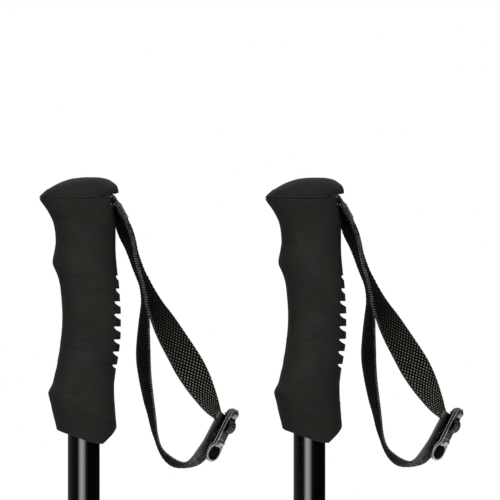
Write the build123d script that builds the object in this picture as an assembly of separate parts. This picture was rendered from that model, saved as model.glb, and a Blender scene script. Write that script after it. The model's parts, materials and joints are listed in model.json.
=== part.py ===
from build123d import *
import math
import os

# Pair of collapsible trekking poles. Millimetres, +Z up. Origin: centre of the
# flat end of the left pole's carbide tip, on the ground plane. The finger side
# of each grip faces -X, the palm side and the strap face +X. The right pole is
# an identical copy, beside the left one in +X and set back in +Y.

PAIR_X, PAIR_Y = 127.1, 40.0  # from the left pole to the right one
TOP = 610.0                   # top of the collapsed pole
RUN = 0.05                    # clearance between mating parts

# Tubes: outer and inner radius, lower and upper end
UPPER_R, UPPER_BORE = 9.0, 8.2
MIDDLE_R, MIDDLE_BORE = 8.0, 7.2
LOWER_R, LOWER_BORE = 7.0, 6.2
UPPER_LOW, UPPER_HIGH = 200.0, 590.0
MIDDLE_LOW, MIDDLE_HIGH = 140.0, 572.0
LOWER_LOW, LOWER_HIGH = 70.0, 545.0


# ------------------------------------------------------------------ helpers
def z_rod(radius, z_low, z_high, x=0.0, y=0.0):
    return Pos(x, y, (z_low + z_high) / 2) * Cylinder(radius, z_high - z_low)


def y_rod(radius, y_low, y_high, x=0.0, z=0.0):
    return Pos(x, (y_low + y_high) / 2, z) * Rot(90, 0, 0) * Cylinder(radius, y_high - y_low)


def block(x_low, x_high, y_low, y_high, z_low, z_high):
    centre = Pos((x_low + x_high) / 2, (y_low + y_high) / 2, (z_low + z_high) / 2)
    return centre * Box(x_high - x_low, y_high - y_low, z_high - z_low)


def ring(outer_r, inner_r, z_low, z_high):
    return z_rod(outer_r, z_low, z_high) - z_rod(inner_r, z_low - 1, z_high + 1)


def xz_face(points):
    return make_face(Plane.XZ * Polyline(*points, close=True))


def turned(points):
    """Solid of revolution about Z from (r, z) points."""
    return revolve(xz_face(points), Axis.Z, 360)


def slab(points, half_width):
    """Prism of an (x, z) outline, centred on y = 0."""
    return extrude(xz_face(points), half_width, both=True)


def polar(radius, degrees):
    angle = math.radians(degrees)
    return radius * math.cos(angle), radius * math.sin(angle)


def fused(shapes):
    total = shapes[0]
    for shape in shapes[1:]:
        total = total + shape
    return total


def largest(shape):
    return max(shape.solids(), key=lambda solid: solid.volume)


# ----------------------------------------------------------------- grip, cap
# Plan outlines from the top down: depth below TOP, front x, rear x, half
# width, and the roundness of the plan at the front and at the rear (2 is an
# ellipse, larger is squarer)
GRIP_ROWS = [
    (11.8, -24.9, 16.4, 15.4, 2.9, 4.0), (14.0, -23.9, 16.4, 15.4, 2.9, 4.0),
    (17.2, -21.5, 16.6, 15.2, 2.8, 3.8), (20.7, -19.4, 17.1, 14.9, 2.7, 3.3),
    (25.2, -17.3, 17.8, 14.6, 2.6, 2.9), (31.9, -16.1, 18.0, 14.4, 2.5, 2.5),
    (38.0, -15.9, 17.9, 14.4, 2.4, 2.4), (43.2, -16.9, 18.1, 14.5, 2.4, 2.4),
    (47.7, -17.6, 18.4, 14.6, 2.4, 2.4), (52.2, -16.2, 18.8, 14.7, 2.4, 2.4),
    (58.4, -13.9, 19.5, 14.8, 2.4, 2.4), (66.3, -12.8, 20.2, 14.8, 2.4, 2.4),
    (77.5, -12.2, 20.8, 14.8, 2.4, 2.4), (87.1, -12.5, 20.8, 14.6, 2.4, 2.4),
    (97.2, -13.7, 20.0, 14.4, 2.4, 2.4), (106.2, -15.2, 18.6, 14.3, 2.4, 2.4),
    (115.2, -17.3, 17.2, 14.4, 2.4, 2.4), (121.4, -20.0, 17.1, 14.6, 2.4, 2.4),
    (127.6, -18.5, 17.5, 14.8, 2.4, 2.4), (135.5, -16.7, 18.1, 15.0, 2.4, 2.4),
    (142.8, -15.2, 18.5, 15.0, 2.4, 2.4), (151.0, -14.4, 18.6, 14.8, 2.4, 2.4),
]
CAP_ROWS = [
    (0.0, -2.0, 9.4, 4.4, 2.2, 2.2), (0.7, -6.3, 12.2, 7.2, 2.3, 2.4),
    (1.6, -9.4, 14.5, 9.6, 2.4, 2.5), (2.7, -12.6, 16.2, 11.6, 2.5, 2.8),
    (3.8, -15.0, 17.7, 13.0, 2.6, 3.0), (4.9, -17.1, 18.7, 14.0, 2.7, 3.3),
    (6.1, -19.0, 19.2, 14.7, 2.8, 3.6), (7.2, -21.1, 19.5, 15.2, 2.9, 3.8),
    (8.3, -22.4, 19.6, 15.5, 2.9, 4.0), (10.0, -24.1, 19.0, 15.6, 2.9, 4.0),
    (11.8, -24.9, 17.9, 15.4, 2.9, 4.0),
]
OUTLINE_POINTS = 28
# Palm ribs: z of each flat underside, depth and height of the notch below it
RIBS = [
    (554.5, 1.2, 2.6), (547.1, 1.9, 2.9), (539.8, 3.0, 3.4), (532.9, 3.6, 3.6),
    (525.7, 4.0, 3.6), (518.4, 3.6, 3.2), (511.6, 3.2, 3.0), (504.3, 2.4, 2.4),
]
# (x, z) outline that trims the slanted lower end of the grip
GRIP_END = [(-30, 475.5), (-15, 467.1), (10.7, 460.1), (16.2, 463.6), (18.8, 471.5),
            (30, 476), (30, 450), (-30, 450)]

# Strap pocket, shared by grip and cap, and the pin across it
POCKET_FRONT, POCKET_HALF, POCKET_ROOF = 9.4, 10.4, 603.3
UNDERCUT_TOP = 600.6
STRAP_PIN_X, STRAP_PIN_Z = 13.0, 596.6
STRAP_PIN_R, STRAP_PIN_HALF = 1.3, 11.6
STEM_LOW, STEM_TOP, STEM_BORE = 580, 599, 5.6
CLEAR = 30                    # reach of a cut beyond the surface


def plan_face(depth, front, rear, half_width, front_power, rear_power):
    """Rounded plan outline at a depth below the top."""
    centre, half_length = (front + rear) / 2, (rear - front) / 2
    points = []
    for i in range(OUTLINE_POINTS):
        angle = 2 * math.pi * i / OUTLINE_POINTS
        c, s = math.cos(angle), math.sin(angle)
        power = 2 / (rear_power if c > 0 else front_power)
        points.append((centre + half_length * math.copysign(abs(c) ** power, c),
                       half_width * math.copysign(abs(s) ** power, s), TOP - depth))
    return make_face(Spline(*points, periodic=True))


def grip_rear(depth):
    """Rear x of the grip, interpolated between its rows."""
    for above, below in zip(GRIP_ROWS[:-1], GRIP_ROWS[1:]):
        if above[0] <= depth <= below[0]:
            share = (depth - above[0]) / (below[0] - above[0])
            return above[2] + share * (below[2] - above[2])


def make_strap_pin():
    return y_rod(STRAP_PIN_R, -STRAP_PIN_HALF, STRAP_PIN_HALF, STRAP_PIN_X, STRAP_PIN_Z)


def make_grip():
    body = loft([plan_face(*row) for row in GRIP_ROWS])
    # saw-tooth notches on the palm side
    for z, depth, height in RIBS:
        rear = grip_rear(TOP - z)
        body = body - slab([(rear - depth, z), (rear + 6, z), (rear + 6, z - height * 1.05),
                            (rear + 0.1, z - height), (rear - depth * 0.45, z - height * 0.78),
                            (rear - depth * 0.8, z - height * 0.5)], CLEAR)
    body = body - slab(GRIP_END, CLEAR)
    # bore for the upper tube and for the stem of the cap
    body = body - z_rod(UPPER_R, 440, UPPER_HIGH) - z_rod(UPPER_R, UPPER_HIGH - 1, 620)
    body = body - block(POCKET_FRONT, CLEAR, -POCKET_HALF, POCKET_HALF, 593.4, 605)
    return largest(body - make_strap_pin())


def make_cap():
    dome = loft([plan_face(*row) for row in CAP_ROWS])
    # undercut at each side of the strap slot, and right across behind it
    dome = dome - block(10.2, 15.5, 12.0, 20, 590, UNDERCUT_TOP)
    dome = dome - block(10.2, 15.5, -20, -12.0, 590, UNDERCUT_TOP)
    dome = dome - block(15.4, CLEAR, -20, 20, 590, UNDERCUT_TOP)
    # strap slot, with a lower roof at its mouth
    dome = dome - block(POCKET_FRONT, 17.9, -POCKET_HALF, POCKET_HALF, 590, POCKET_ROOF)
    dome = dome - block(17.0, CLEAR, -POCKET_HALF, POCKET_HALF, 590, 600.9)
    # hollow stem: wide part in the grip, narrow part in the upper tube
    stem = z_rod(UPPER_R - RUN, UPPER_HIGH, STEM_TOP)
    stem = stem + z_rod(UPPER_BORE - RUN, STEM_LOW, UPPER_HIGH)
    stem = stem - z_rod(STEM_BORE, 570, 596)
    stem = stem - block(POCKET_FRONT, CLEAR, -20, 20, STEM_LOW, POCKET_ROOF)
    return largest(dome + stem)


# --------------------------------------------------------------------- strap
STRAP_W, STRAP_T = 20.0, 1.2
# Cross lines of the webbing, from the pin down to the buckle:
# x, z of the edge on the -Y side, then x, z of the edge on the +Y side
INNER_LEG = [
    (18.10, 594.60, 16.68, 593.80), (20.35, 589.40, 17.47, 587.90), (22.95, 584.41, 18.14, 581.99),
    (25.40, 578.72, 20.28, 576.02), (26.95, 572.93, 22.98, 570.85), (28.00, 566.46, 25.45, 565.11),
    (29.45, 560.39, 27.50, 559.43), (30.95, 554.88, 29.60, 554.26), (32.10, 550.38, 31.30, 550.09),
    (33.05, 545.76, 32.25, 545.71), (34.10, 539.63, 32.60, 539.52), (35.40, 534.17, 31.92, 534.46),
    (36.30, 528.55, 31.19, 529.11), (36.75, 522.92, 30.52, 523.49), (36.98, 517.30, 29.95, 517.69),
    (37.15, 511.67, 29.56, 511.67), (37.27, 506.05, 29.84, 505.21), (37.55, 500.42, 30.74, 499.13),
    (38.00, 494.80, 31.81, 493.22), (38.62, 489.17, 33.05, 487.60), (39.29, 483.55, 34.40, 482.09),
    (39.97, 477.92, 36.03, 476.80), (40.53, 472.86, 37.27, 471.74), (40.98, 467.80, 38.56, 466.79),
    (41.77, 463.30, 40.19, 462.46), (42.89, 459.36, 41.54, 458.35), (44.69, 456.38, 43.12, 454.64),
    (47.39, 453.96, 45.37, 451.04), (50.48, 451.71, 48.68, 447.94), (53.86, 450.02, 52.23, 446.65),
    (56.73, 449.24, 56.28, 446.59), (59.37, 450.59, 60.78, 447.10), (61.73, 453.17, 65.11, 448.51),
    (63.70, 455.99, 68.60, 451.60), (65.73, 458.91, 71.60, 454.30), (67.75, 461.95, 73.60, 457.60),
    (72.00, 470.05, 77.80, 465.80), (76.30, 478.10, 82.30, 474.90),
]
OUTER_LEG = [
    (19.70, 595.49, 20.05, 595.71), (22.15, 590.20, 22.55, 590.42), (24.50, 585.36, 24.95, 585.59),
    (26.55, 580.02, 27.00, 580.30), (28.35, 573.61, 28.80, 573.77), (29.55, 567.14, 30.10, 567.36),
    (30.90, 561.12, 32.05, 561.68), (32.25, 555.61, 34.15, 556.56), (33.45, 551.05, 36.40, 552.51),
    (34.62, 546.38, 38.65, 548.29), (35.75, 540.08, 42.10, 542.72), (36.92, 534.17, 45.14, 538.39),
    (38.45, 528.27, 48.52, 534.17), (40.68, 522.36, 52.17, 529.22), (43.17, 516.74, 55.83, 523.88),
    (46.15, 510.94, 59.48, 518.54), (49.08, 505.26, 63.14, 513.08), (52.06, 499.64, 66.85, 507.17),
    (55.43, 494.46, 69.78, 501.27), (59.09, 489.40, 72.14, 495.36), (63.03, 484.67, 73.94, 489.74),
    (66.97, 480.17, 75.52, 484.34), (70.45, 476.91, 76.53, 479.84), (72.60, 475.50, 77.10, 477.60),
]
# Same columns, between the legs and the half turn round the pin
OVER_PIN = [(18.2, 597.25, 18.3, 597.3), (16.8, 598.2, 16.8, 598.25), (15.0, 598.65, 15.0, 598.65)]
UNDER_PIN = [(14.8, 594.75, 14.8, 594.75), (16.4, 595.0, 16.1, 594.6)]


def strap_rows():
    """Cross lines up the outer leg, round the pin and down the inner leg."""
    turn = []
    for degrees in range(90, 271, 30):
        dx, dz = polar(STRAP_PIN_R + 0.1 + STRAP_T / 2, degrees)
        turn.append((STRAP_PIN_X + dx, STRAP_PIN_Z + dz) * 2)
    return OUTER_LEG[::-1] + OVER_PIN + turn + UNDER_PIN + INNER_LEG


def make_strap():
    near, far = [], []
    for near_x, near_z, far_x, far_z in strap_rows():
        # the webbing keeps its width, so a tilted line spans less in y
        tilt = math.hypot(far_x - near_x, far_z - near_z)
        half_y = math.sqrt(STRAP_W ** 2 - tilt ** 2) / 2
        near.append(Vector(near_x, -half_y, near_z))
        far.append(Vector(far_x, half_y, far_z))
    sections = []
    last = len(near) - 1
    for i in range(last + 1):
        before, after = max(i - 1, 0), min(i + 1, last)
        path = ((near[after] + far[after]) - (near[before] + far[before])).normalized()
        across = (far[i] - near[i]).normalized()
        out = path.cross(across).normalized() * (STRAP_T / 2)
        corners = [near[i] - out, far[i] - out, far[i] + out, near[i] + out]
        sections.append(Wire.make_polygon(corners, close=True))
    return Solid.make_loft(sections, ruled=True)


# -------------------------------------------------------- ladder-lock buckle
BUCKLE_CENTRE = (78.2, 0.0, 464.8)
BUCKLE_ALONG = (0.447, 0.0, 0.894)      # long direction
BUCKLE_L, BUCKLE_W, BUCKLE_T = 32.6, 26.4, 1.8


def buckle_plane():
    along = Vector(*BUCKLE_ALONG).normalized()
    normal = Vector(along.Z, 0, -along.X)
    across = (normal * 0.16 + Vector(0, 1, 0) * 0.987).normalized()
    return Plane(origin=BUCKLE_CENTRE, x_dir=along, z_dir=across.cross(along).normalized())


def fillet_ends(shape, low_r, high_r):
    """Round the upright corners at the low-x end, then at the high-x end."""
    shape = fillet(shape.edges().filter_by(Axis.Z).sort_by(Axis.X)[:2], low_r)
    return fillet(shape.edges().filter_by(Axis.Z).sort_by(Axis.X)[-2:], high_r)


def buckle_bar(radius, inset, x, z):
    half = (BUCKLE_W - inset) / 2
    return y_rod(radius, -half, half, x, z)


def make_buckle():
    # local x along the webbing (top end +x), local y across, local z outwards
    end = BUCKLE_L / 2
    plate = fillet_ends(Box(BUCKLE_L, BUCKLE_W, BUCKLE_T), 9.5, 6.0)
    upper = block(-1.8, end - 5.4, -10.5, 10.5, -5, 5)
    upper = fillet(upper.edges().filter_by(Axis.Z), 2.0)
    lower = fillet_ends(block(-end + 2.4, -7.2, -9.6, 9.6, -5, 5), 5.5, 1.5)
    frame = plate - upper - lower
    frame = fillet(frame.faces().filter_by(Axis.Z).edges(), 0.6)
    top_bar = buckle_bar(2.3, 5, end - 2.9, -0.65)
    top_bar = fillet(top_bar.edges(), 1.1)
    middle_bar = buckle_bar(1.9, 4.4, -4.6, 0.3)
    middle_bar = fillet(middle_bar.edges(), 0.9)
    # narrow bar across the upper opening, that the webbing is wrapped over
    wrap_bar = buckle_bar(0.85, 4, 5.2, 0)
    return largest(buckle_plane() * (frame + top_bar + middle_bar + wrap_bar))


# --------------------------------------------------------------------- tubes
SLOT_HALF, SLOT_H = 0.75, 24


def make_slotted_tube(outer_r, bore_r, z_low, z_high):
    """Tube with a clamping slot on the +X side of its lower end."""
    slot = block(outer_r - 4, 12, -SLOT_HALF, SLOT_HALF, z_low - 1, z_low + SLOT_H)
    return largest(ring(outer_r, bore_r, z_low, z_high) - slot)


def make_plug(hole_r, stem_r, head_r, top_r, stem_length, z_seat):
    """Guide plug: stem inside the inner tube, head sliding in the outer one."""
    z_stem, z_top = z_seat - stem_length, z_seat + 7
    return largest(turned([(hole_r, z_stem), (stem_r, z_stem), (stem_r, z_seat), (head_r, z_seat),
                           (head_r, z_seat + 5), (top_r, z_top), (hole_r, z_top)]))


# --------------------------------------------------------------- lever locks
LOCK_H, LOCK_RISE = 38.0, 13.0          # height; centre above the outer tube's end
COLLAR_WALL = 4.0
EAR_OUT, EAR_H, EAR_Y = 9.0, 24.0, 5.0
GAP_HALF = 1.0                          # half the gap between the ears
SCREW_R, SCREW_OUT = 2.0, 4.5           # screw axis beyond the collar radius
SCREW_HOLE_R = SCREW_R + 0.1
PIN_R, PIN_Y = 1.5, -11.05
WASHER_T = 1.5
NUT_R, NUT_END, NUT_FLUTES = 5.0, 10.0, 10
LEVER_HALF = 12.0
ARM_START, ARM_END, TAB_ANGLE = -44, -152, -150     # degrees about the pole


def make_collar(tube_r, sliding_r, collar_r, screw_x, z_mid, z_stop):
    """Clamp collar with two ears on the +X side."""
    low, high = z_mid - LOCK_H / 2, z_mid + LOCK_H / 2
    shell = turned([(0, low), (collar_r - 1.4, low), (collar_r, low + 1.6),
                    (collar_r, high - 2.4), (collar_r - 2.0, high), (0, high)])
    ears = fused([block(collar_r - 3, collar_r + EAR_OUT, y_low, y_high,
                        z_mid - EAR_H / 2, z_mid + EAR_H / 2)
                  for y_low, y_high in ((-EAR_Y, -GAP_HALF), (GAP_HALF, EAR_Y))])
    ears = fillet(ears.edges().filter_by(Axis.Y).sort_by(Axis.X)[-4:], 3.0)
    collar = shell + ears
    # stepped bore: outer tube above its end, sliding tube below
    collar = collar - z_rod(tube_r + 0.01, z_stop, high + 1)
    collar = collar - z_rod(sliding_r + 0.15, low - 1, z_stop + 1)
    collar = collar - block(3, collar_r + 12, -GAP_HALF, GAP_HALF, low - 1, high + 1)
    return largest(collar - y_rod(SCREW_HOLE_R, -9, 9, screw_x, z_mid))


def make_eye_screw(x, z):
    screw = z_rod(3.8, z - 3.8, z + 3.8, x, PIN_Y) + y_rod(SCREW_R, PIN_Y + 2.5, 11.2, x, z)
    return largest(screw - z_rod(PIN_R + RUN, z - 5, z + 5, x, PIN_Y))


def make_washer(x, z):
    washer = block(x - 4.2, x + 4.2, -EAR_Y - WASHER_T, -EAR_Y, z - 10.5, z + 10.5)
    washer = fillet(washer.edges().filter_by(Axis.Y), 2.0)
    return largest(washer - y_rod(SCREW_HOLE_R, -8, -4, x, z))


def make_nut(x, z):
    nut = y_rod(NUT_R, EAR_Y + RUN, NUT_END, x, z)
    nut = chamfer(nut.faces().sort_by(Axis.Y)[-1].edges(), 0.7)
    for k in range(NUT_FLUTES):
        dx, dz = polar(NUT_R + 0.35, 360 / NUT_FLUTES * k)
        nut = nut - y_rod(0.8, 4, 11, x + dx, z + dz)
    return largest(nut - y_rod(SCREW_R + RUN, 4, 11, x, z))


def make_lever(collar_r, screw_x, z_mid):
    """Hub on the pin, bridge, and an arm wrapped round the -Y side of the collar."""
    low, high = z_mid - LEVER_HALF, z_mid + LEVER_HALF
    inner_r, outer_r = collar_r + 0.45, collar_r + 3.4
    inside = z_rod(inner_r, z_mid - 20, z_mid + 20)
    hub = z_rod(4.5, low, high, screw_x, PIN_Y)
    reach = 60.0
    wedge = make_face(Polyline((0, 0), polar(reach, ARM_START), (reach, -reach * 1.6),
                               (-reach, -reach * 1.6), polar(reach, ARM_END), close=True))
    arm = ring(outer_r, inner_r, low, high) & (Pos(0, 0, z_mid - 20) * extrude(wedge, 40))
    bridge_face = make_face(Polyline(
        (screw_x - 1.5, PIN_Y - 4.2), (screw_x - 1.0, PIN_Y + 2.2),
        (collar_r * 0.5 + 6.6, PIN_Y + 1.0), polar(inner_r, -52), polar(outer_r - 0.2, -58),
        close=True))
    bridge = Pos(0, 0, low) * extrude(bridge_face, 2 * LEVER_HALF) - inside
    # flared finger tab at the free end
    tab_x, tab_y = polar(outer_r - 0.6, TAB_ANGLE)
    tab = Pos(tab_x, tab_y, z_mid) * Rot(0, 0, TAB_ANGLE) * (Pos(0.9, -1.6, 0) * Box(3.4, 5.0, 16.0))
    tab = tab - inside
    lever = hub + arm + bridge + tab
    # taper towards the free end, above and below
    for side in (1, -1):
        lever = lever - slab([(6, z_mid + side * (LEVER_HALF + 0.1)), (-22, z_mid + side * 7.5),
                              (-22, z_mid + side * 20), (6, z_mid + side * 20)], 40)
    # room for the eye and shank of the screw
    lever = lever - z_rod(5.6, z_mid - 4, z_mid + 4, screw_x, PIN_Y)
    return largest(lever - z_rod(PIN_R, z_mid - 30, z_mid + 30, screw_x, PIN_Y))


def make_lock(name, tube_r, sliding_r, z_stop):
    """Parts of the lock on the lower end, z_stop, of a tube; another slides in it."""
    collar_r = tube_r + COLLAR_WALL
    x = collar_r + SCREW_OUT
    z = z_stop + LOCK_RISE
    return {
        name + "_collar": make_collar(tube_r, sliding_r, collar_r, x, z, z_stop),
        name + "_lever": make_lever(collar_r, x, z),
        name + "_pin": largest(z_rod(PIN_R, z - LEVER_HALF, z + LEVER_HALF, x, PIN_Y)),
        name + "_screw": make_eye_screw(x, z),
        name + "_washer": make_washer(x, z),
        name + "_nut": make_nut(x, z),
    }


# --------------------------------------------------------------- tip, basket
TIP_R = 2.4
SPIGOT_R, SEAT_R = 5.6, 6.5
BASKET_R, HUB_R = 25.0, 9.6
SPOKE_TURN = 15                         # degrees from +X to the first spoke


def make_carbide():
    return largest(turned([(0, 0), (1.9, 0), (TIP_R, 0.6), (TIP_R, 15.9), (0, 15.9)]))


def make_ferrule():
    body = turned([(TIP_R, 6.5), (3.4, 6.5), (SPIGOT_R, 13), (SPIGOT_R, 40), (SEAT_R, 42),
                   (SEAT_R, 58.6), (8.4, 59.4), (8.9, 61), (8.9, 63.4), (8.2, 65), (8.4, 104),
                   (7.9, 110), (LOWER_R, 110), (LOWER_R, LOWER_LOW - 0.1), (4.0, 66), (4.0, 20),
                   (TIP_R, 16)])
    # bayonet lugs on the +Y and -Y sides
    lugs = block(-8.4, 8.4, -2.0, 2.0, 43.4, 45.8) & z_rod(7.9, 43, 46)
    lugs = lugs - z_rod(SEAT_R - 0.3, 40, 50)
    return largest(body + Rot(0, 0, 90) * lugs)


def make_basket():
    bore_r = SEAT_R + RUN
    hub = ring(HUB_R, bore_r, 46, 58)
    rim = BASKET_R - 1.5
    disc = turned([(9.0, 49.5), (rim, 47.2), (BASKET_R, 48.2), (BASKET_R, 50.2), (rim, 51.2),
                   (9.0, 52.3)])
    # windows between six spokes, made by three bars right across
    spokes = fused([Rot(0, 0, 60 * k + SPOKE_TURN) * block(-30, 30, -2.2, 2.2, 39, 61)
                    for k in range(3)])
    disc = disc - (ring(20.8, 12.4, 40, 60) - spokes)
    # sloping rib on each spoke
    rib = [(9.0, 51.5), (9.0, 56.5), (20.5, 51.6), (20.5, 49.5)]
    ribs = fused([Rot(0, 0, 60 * k + SPOKE_TURN) * slab(rib, 0.7) for k in range(6)])
    body = hub + disc + ribs
    body = body - z_rod(bore_r, 40, 70)
    # bayonet keyways in the hub
    return largest(body - block(-8.1, 8.1, -2.3, 2.3, 45, 55.5))


# ------------------------------------------------------------------ assembly
def make_pole():
    return {
        "grip": make_grip(),
        "head_cap": make_cap(),
        "strap_pin": largest(make_strap_pin()),
        "strap": make_strap(),
        "buckle": make_buckle(),
        "upper_shaft": make_slotted_tube(UPPER_R, UPPER_BORE, UPPER_LOW, UPPER_HIGH),
        **make_lock("upper_lock", UPPER_R, MIDDLE_R, UPPER_LOW),
        "middle_shaft": make_slotted_tube(MIDDLE_R, MIDDLE_BORE, MIDDLE_LOW, MIDDLE_HIGH),
        "middle_guide_plug": make_plug(4.0, MIDDLE_BORE, UPPER_BORE - RUN, 7.2, 15, MIDDLE_HIGH),
        **make_lock("lower_lock", MIDDLE_R, LOWER_R, MIDDLE_LOW),
        "lower_shaft": largest(ring(LOWER_R, LOWER_BORE, LOWER_LOW, LOWER_HIGH)),
        "lower_guide_plug": make_plug(3.2, LOWER_BORE, MIDDLE_BORE - RUN, 6.4, 17, LOWER_HIGH),
        "tip_ferrule": make_ferrule(),
        "carbide_tip": make_carbide(),
        "basket": make_basket(),
    }


os.makedirs("parts", exist_ok=True)
for name, shape in make_pole().items():
    export_step(shape, "parts/left_" + name + ".step")
    export_step(shape.moved(Location((PAIR_X, PAIR_Y, 0))), "parts/right_" + name + ".step")
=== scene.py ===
# A pair of telescopic poles standing upright side by side along X, tips down, on a pale floor.
# Each foam grip has its finger side towards -X and its ribbed palm side, with the wrist strap
# and its buckle, towards +X. The camera looks along +Y, so -Y is "near" and +Y is "far".
# Shapes are in millimetres about a pole's axis, with z measured from the floor.
import json
import math

import bmesh
import bpy
import numpy as np
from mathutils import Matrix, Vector

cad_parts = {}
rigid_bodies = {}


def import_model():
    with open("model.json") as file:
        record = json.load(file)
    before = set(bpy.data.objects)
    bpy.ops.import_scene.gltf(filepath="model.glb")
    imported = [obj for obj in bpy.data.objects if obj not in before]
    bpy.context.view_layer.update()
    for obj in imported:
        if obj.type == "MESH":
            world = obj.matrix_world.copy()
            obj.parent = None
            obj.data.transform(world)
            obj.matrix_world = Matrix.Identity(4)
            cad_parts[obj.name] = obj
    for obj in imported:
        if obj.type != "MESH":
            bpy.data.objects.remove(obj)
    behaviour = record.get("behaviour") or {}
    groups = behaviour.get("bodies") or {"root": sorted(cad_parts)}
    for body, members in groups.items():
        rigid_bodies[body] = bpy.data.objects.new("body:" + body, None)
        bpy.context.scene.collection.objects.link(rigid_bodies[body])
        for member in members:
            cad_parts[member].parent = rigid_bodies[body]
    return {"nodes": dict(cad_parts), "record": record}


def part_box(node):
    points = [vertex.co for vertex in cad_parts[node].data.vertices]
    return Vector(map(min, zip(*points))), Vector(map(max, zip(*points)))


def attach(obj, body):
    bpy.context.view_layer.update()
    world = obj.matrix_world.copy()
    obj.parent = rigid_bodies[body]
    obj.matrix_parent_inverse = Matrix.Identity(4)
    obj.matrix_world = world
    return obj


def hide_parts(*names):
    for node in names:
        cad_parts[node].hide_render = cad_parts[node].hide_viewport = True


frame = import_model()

MM = 0.001
TOP = 610.0                      # top of the cap
TURN = 2 * math.pi


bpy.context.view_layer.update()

POLES = {}                       # pole axis of each side, metres
for side in ("left", "right"):
    low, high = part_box(side + "_upper_shaft")
    POLES[side] = np.array([(low[0] + high[0]) / 2, (low[1] + high[1]) / 2, 0.0])


# ---------------------------------------------------------------------------
# curves
# ---------------------------------------------------------------------------
def monotone_curve(points):
    """Monotone cubic curve through (x, y) points with rising x."""
    x, y = np.array(points, float).T
    width = np.diff(x)
    slope = np.diff(y) / width
    tangent = np.zeros_like(y)
    for i in range(1, len(x) - 1):
        if slope[i - 1] * slope[i] > 0:
            before = 2 * width[i] + width[i - 1]
            after = width[i] + 2 * width[i - 1]
            tangent[i] = (before + after) / (before / slope[i - 1] + after / slope[i])
    tangent[0], tangent[-1] = slope[0], slope[-1]

    def curve(at):
        at = np.clip(np.asarray(at, float), x[0], x[-1])
        i = np.clip(np.searchsorted(x, at) - 1, 0, len(x) - 2)
        t = (at - x[i]) / width[i]
        return (
            (2 * t**3 - 3 * t**2 + 1) * y[i]
            + (t**3 - 2 * t**2 + t) * width[i] * tangent[i]
            + (-2 * t**3 + 3 * t**2) * y[i + 1]
            + (t**3 - t**2) * width[i] * tangent[i + 1]
        )

    return curve


def smoothstep(start, end, value):
    t = np.clip((np.asarray(value, float) - start) / (end - start), 0, 1)
    return t * t * (3 - 2 * t)


def catmull_rom(points, per_span):
    """Dense curve through rows of values, with knots by the square root of chord length."""
    points = np.asarray(points, float)
    padded = np.concatenate([[2 * points[0] - points[1]], points, [2 * points[-1] - points[-2]]])
    out = []
    for i in range(1, len(padded) - 2):
        p0, p1, p2, p3 = padded[i - 1:i + 3]
        t0 = 0.0
        t1 = t0 + max(np.linalg.norm(p1 - p0), 1e-6) ** 0.5
        t2 = t1 + max(np.linalg.norm(p2 - p1), 1e-6) ** 0.5
        t3 = t2 + max(np.linalg.norm(p3 - p2), 1e-6) ** 0.5
        for t in np.linspace(t1, t2, per_span, endpoint=False):
            a1 = (t1 - t) / (t1 - t0) * p0 + (t - t0) / (t1 - t0) * p1
            a2 = (t2 - t) / (t2 - t1) * p1 + (t - t1) / (t2 - t1) * p2
            a3 = (t3 - t) / (t3 - t2) * p2 + (t - t2) / (t3 - t2) * p3
            b1 = (t2 - t) / (t2 - t0) * a1 + (t - t0) / (t2 - t0) * a2
            b2 = (t3 - t) / (t3 - t1) * a2 + (t - t1) / (t3 - t1) * a3
            out.append((t2 - t) / (t2 - t1) * b1 + (t - t1) / (t2 - t1) * b2)
    out.append(points[-1])
    return np.array(out)


def blurred(rows, sigma):
    """Each column smoothed along the rows, run on in straight lines past both ends."""
    pad = 3 * sigma
    kernel = np.exp(-0.5 * (np.arange(-pad, pad + 1) / sigma) ** 2)
    kernel /= kernel.sum()
    before = rows[:1] + np.arange(-pad, 0)[:, None] * (rows[1] - rows[0])
    after = rows[-1:] + np.arange(1, pad + 1)[:, None] * (rows[-1] - rows[-2])
    padded = np.concatenate([before, rows, after])
    columns = [np.convolve(column, kernel, mode="valid") for column in padded.T]
    return np.stack(columns, 1)


def path_length(points):
    steps = np.linalg.norm(np.diff(points, axis=0), axis=1)
    return np.concatenate([[0], np.cumsum(steps)])


def resampled(at, lengths, points):
    return np.stack([np.interp(at, lengths, column) for column in points.T], 1)


def unit(vectors):
    return vectors / np.linalg.norm(vectors, axis=-1, keepdims=True)


# ---------------------------------------------------------------------------
# meshes
# ---------------------------------------------------------------------------
def new_mesh(name, verts, faces, smooth=True, material=None, uv=None):
    mesh = bpy.data.meshes.new(name)
    mesh.from_pydata(
        [tuple(map(float, v)) for v in verts], [], [tuple(map(int, f)) for f in faces]
    )
    mesh.validate()
    if smooth:
        mesh.polygons.foreach_set("use_smooth", [True] * len(mesh.polygons))
    if material:
        mesh.materials.append(material)
    if uv is not None:
        layer = mesh.uv_layers.new(name="UVMap")
        corner = np.empty(len(mesh.loops), dtype=np.int64)
        mesh.loops.foreach_get("vertex_index", corner)
        layer.data.foreach_set("uv", np.asarray(uv, float)[corner].ravel())
    mesh.update()
    return mesh


def linked(name, data):
    obj = bpy.data.objects.new(name, data)
    bpy.context.scene.collection.objects.link(obj)
    return obj


def add_part(name, shape, side, body, material, slot, replaced=None, smooth=True):
    """Adds a shape (vertices, faces and perhaps UVs, in mm) at one pole."""
    verts, faces, *uv = shape
    mesh = new_mesh(name, verts * MM + POLES[side], faces, smooth, MATERIALS[material], *uv)
    obj = linked(name, mesh)
    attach(obj, body)
    if replaced:
        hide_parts(replaced)
    return obj


def applied(obj):
    """The object's mesh with its modifiers applied, as a new mesh."""
    graph = bpy.context.evaluated_depsgraph_get()
    return bpy.data.meshes.new_from_object(obj.evaluated_get(graph), depsgraph=graph)


def shape_of(mesh):
    coords = np.empty(len(mesh.vertices) * 3)
    mesh.vertices.foreach_get("co", coords)
    return coords.reshape(-1, 3), [tuple(p.vertices) for p in mesh.polygons]


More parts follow.
